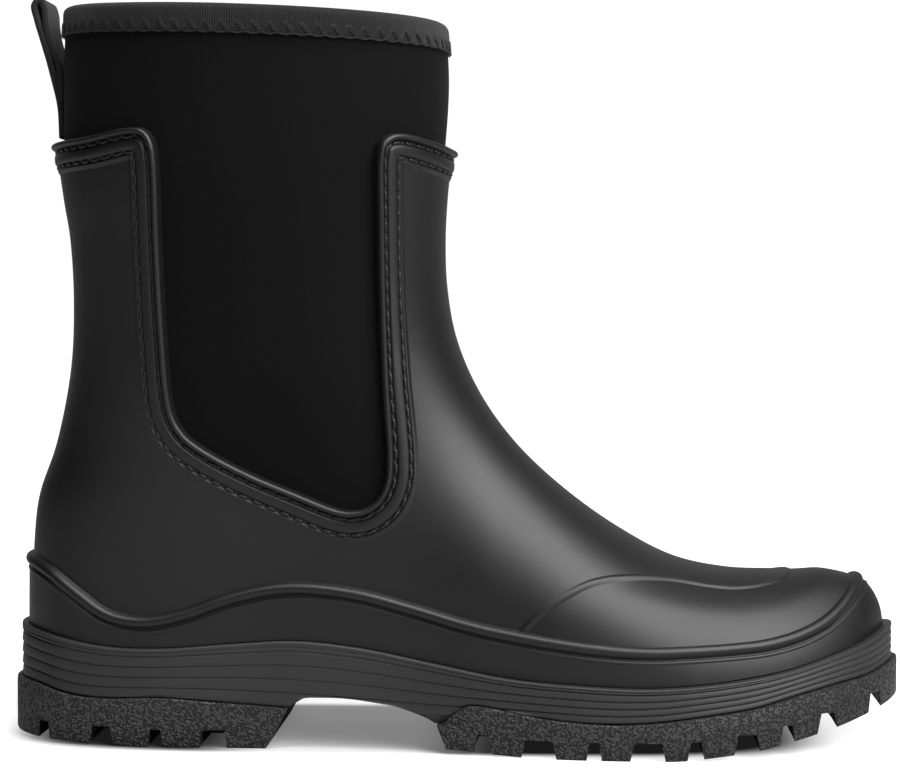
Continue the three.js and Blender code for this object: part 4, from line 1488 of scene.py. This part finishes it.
def build_world():
    """White where the camera looks. What lights the boot is white behind it and dark in front."""
    world = bpy.data.worlds.new("surround")
    bpy.context.scene.world = world
    world.use_nodes = True
    nodes, links = world.node_tree.nodes, world.node_tree.links
    seen, felt = nodes["Background"], nodes.new("ShaderNodeBackground")
    for background in (seen, felt):
        background.inputs["Color"].default_value = (1, 1, 1, 1)
    seen.inputs["Strength"].default_value = SURROUND_SEEN
    facing = nodes.new("ShaderNodeTexCoord")
    parts = nodes.new("ShaderNodeSeparateXYZ")
    behind = nodes.new("ShaderNodeMapRange")
    behind.interpolation_type = "SMOOTHSTEP"
    for socket, value in zip((1, 2, 3, 4), (*SURROUND_TURNS, SURROUND_FRONT, SURROUND_BACK)):
        behind.inputs[socket].default_value = value
    path = nodes.new("ShaderNodeLightPath")
    choose = nodes.new("ShaderNodeMixShader")
    for source, target in (
        (facing.outputs["Generated"], parts.inputs[0]), (parts.outputs[1], behind.inputs[0]),
        (behind.outputs[0], felt.inputs["Strength"]), (path.outputs["Is Camera Ray"], choose.inputs[0]),
        (felt.outputs[0], choose.inputs[1]), (seen.outputs[0], choose.inputs[2]),
        (choose.outputs[0], nodes["World Output"].inputs["Surface"]),
    ):
        links.new(source, target)


build_floor()
build_world()
print("surround from %.3f in front to %.2f behind" % (SURROUND_FRONT, SURROUND_BACK))

# %% Lights
# Name, place, aim, size in metres, power in watts.
LIGHTS = [
    ("key", (1.02, -0.98, 1.18), (0.05, 0, 0.08), (1.5, 1.3), 50),
    ("top", (0.2, -0.45, 1.8), (0.05, 0, 0.1), (1.6, 0.4), 28),
]


def softbox(name, place, aim, size, power):
    light = bpy.data.lights.new(name, "AREA")
    light.shape = "RECTANGLE"
    light.size, light.size_y = size
    light.energy = power
    lamp = bpy.data.objects.new(name, light)
    lamp.location = place
    lamp.rotation_euler = (Vector(aim) - Vector(place)).to_track_quat("-Z", "Y").to_euler()
    bpy.context.scene.collection.objects.link(lamp)


for light_row in LIGHTS:
    softbox(*light_row)
bpy.context.scene.view_settings.view_transform = "Standard"
print("softboxes:", ", ".join(row[0] for row in LIGHTS))

# %% Camera
# The photograph's view, in its pixels: picture width, focal length, and how far off aim it is.
PHOTO_WIDTH = 900.0
FOCAL_PIXELS = 2317.8
PAN_PIXELS = 5
SENSOR = 36.0
TRUE_DISTANCE = 0.800
CAMERA_HEIGHT = 0.150
AZIMUTH = math.radians(3.0)
TILT = math.radians(90 - 2.23)
camera_data = bpy.data.cameras.new("camera")
camera_data.sensor_fit = "HORIZONTAL"
camera_data.sensor_width = SENSOR
camera_data.lens = SENSOR * FOCAL_PIXELS / PHOTO_WIDTH
camera = bpy.data.objects.new("camera", camera_data)
sideways = -TRUE_DISTANCE * math.cos(AZIMUTH) + SIDE_SHIFT * METRES
camera.location = (TRUE_DISTANCE * math.sin(AZIMUTH), sideways, CAMERA_HEIGHT)
camera.rotation_euler = Euler((TILT, 0, AZIMUTH + PAN_PIXELS / FOCAL_PIXELS))
bpy.context.scene.collection.objects.link(camera)
bpy.context.scene.camera = camera
print("camera at", [round(value, 3) for value in camera.location])
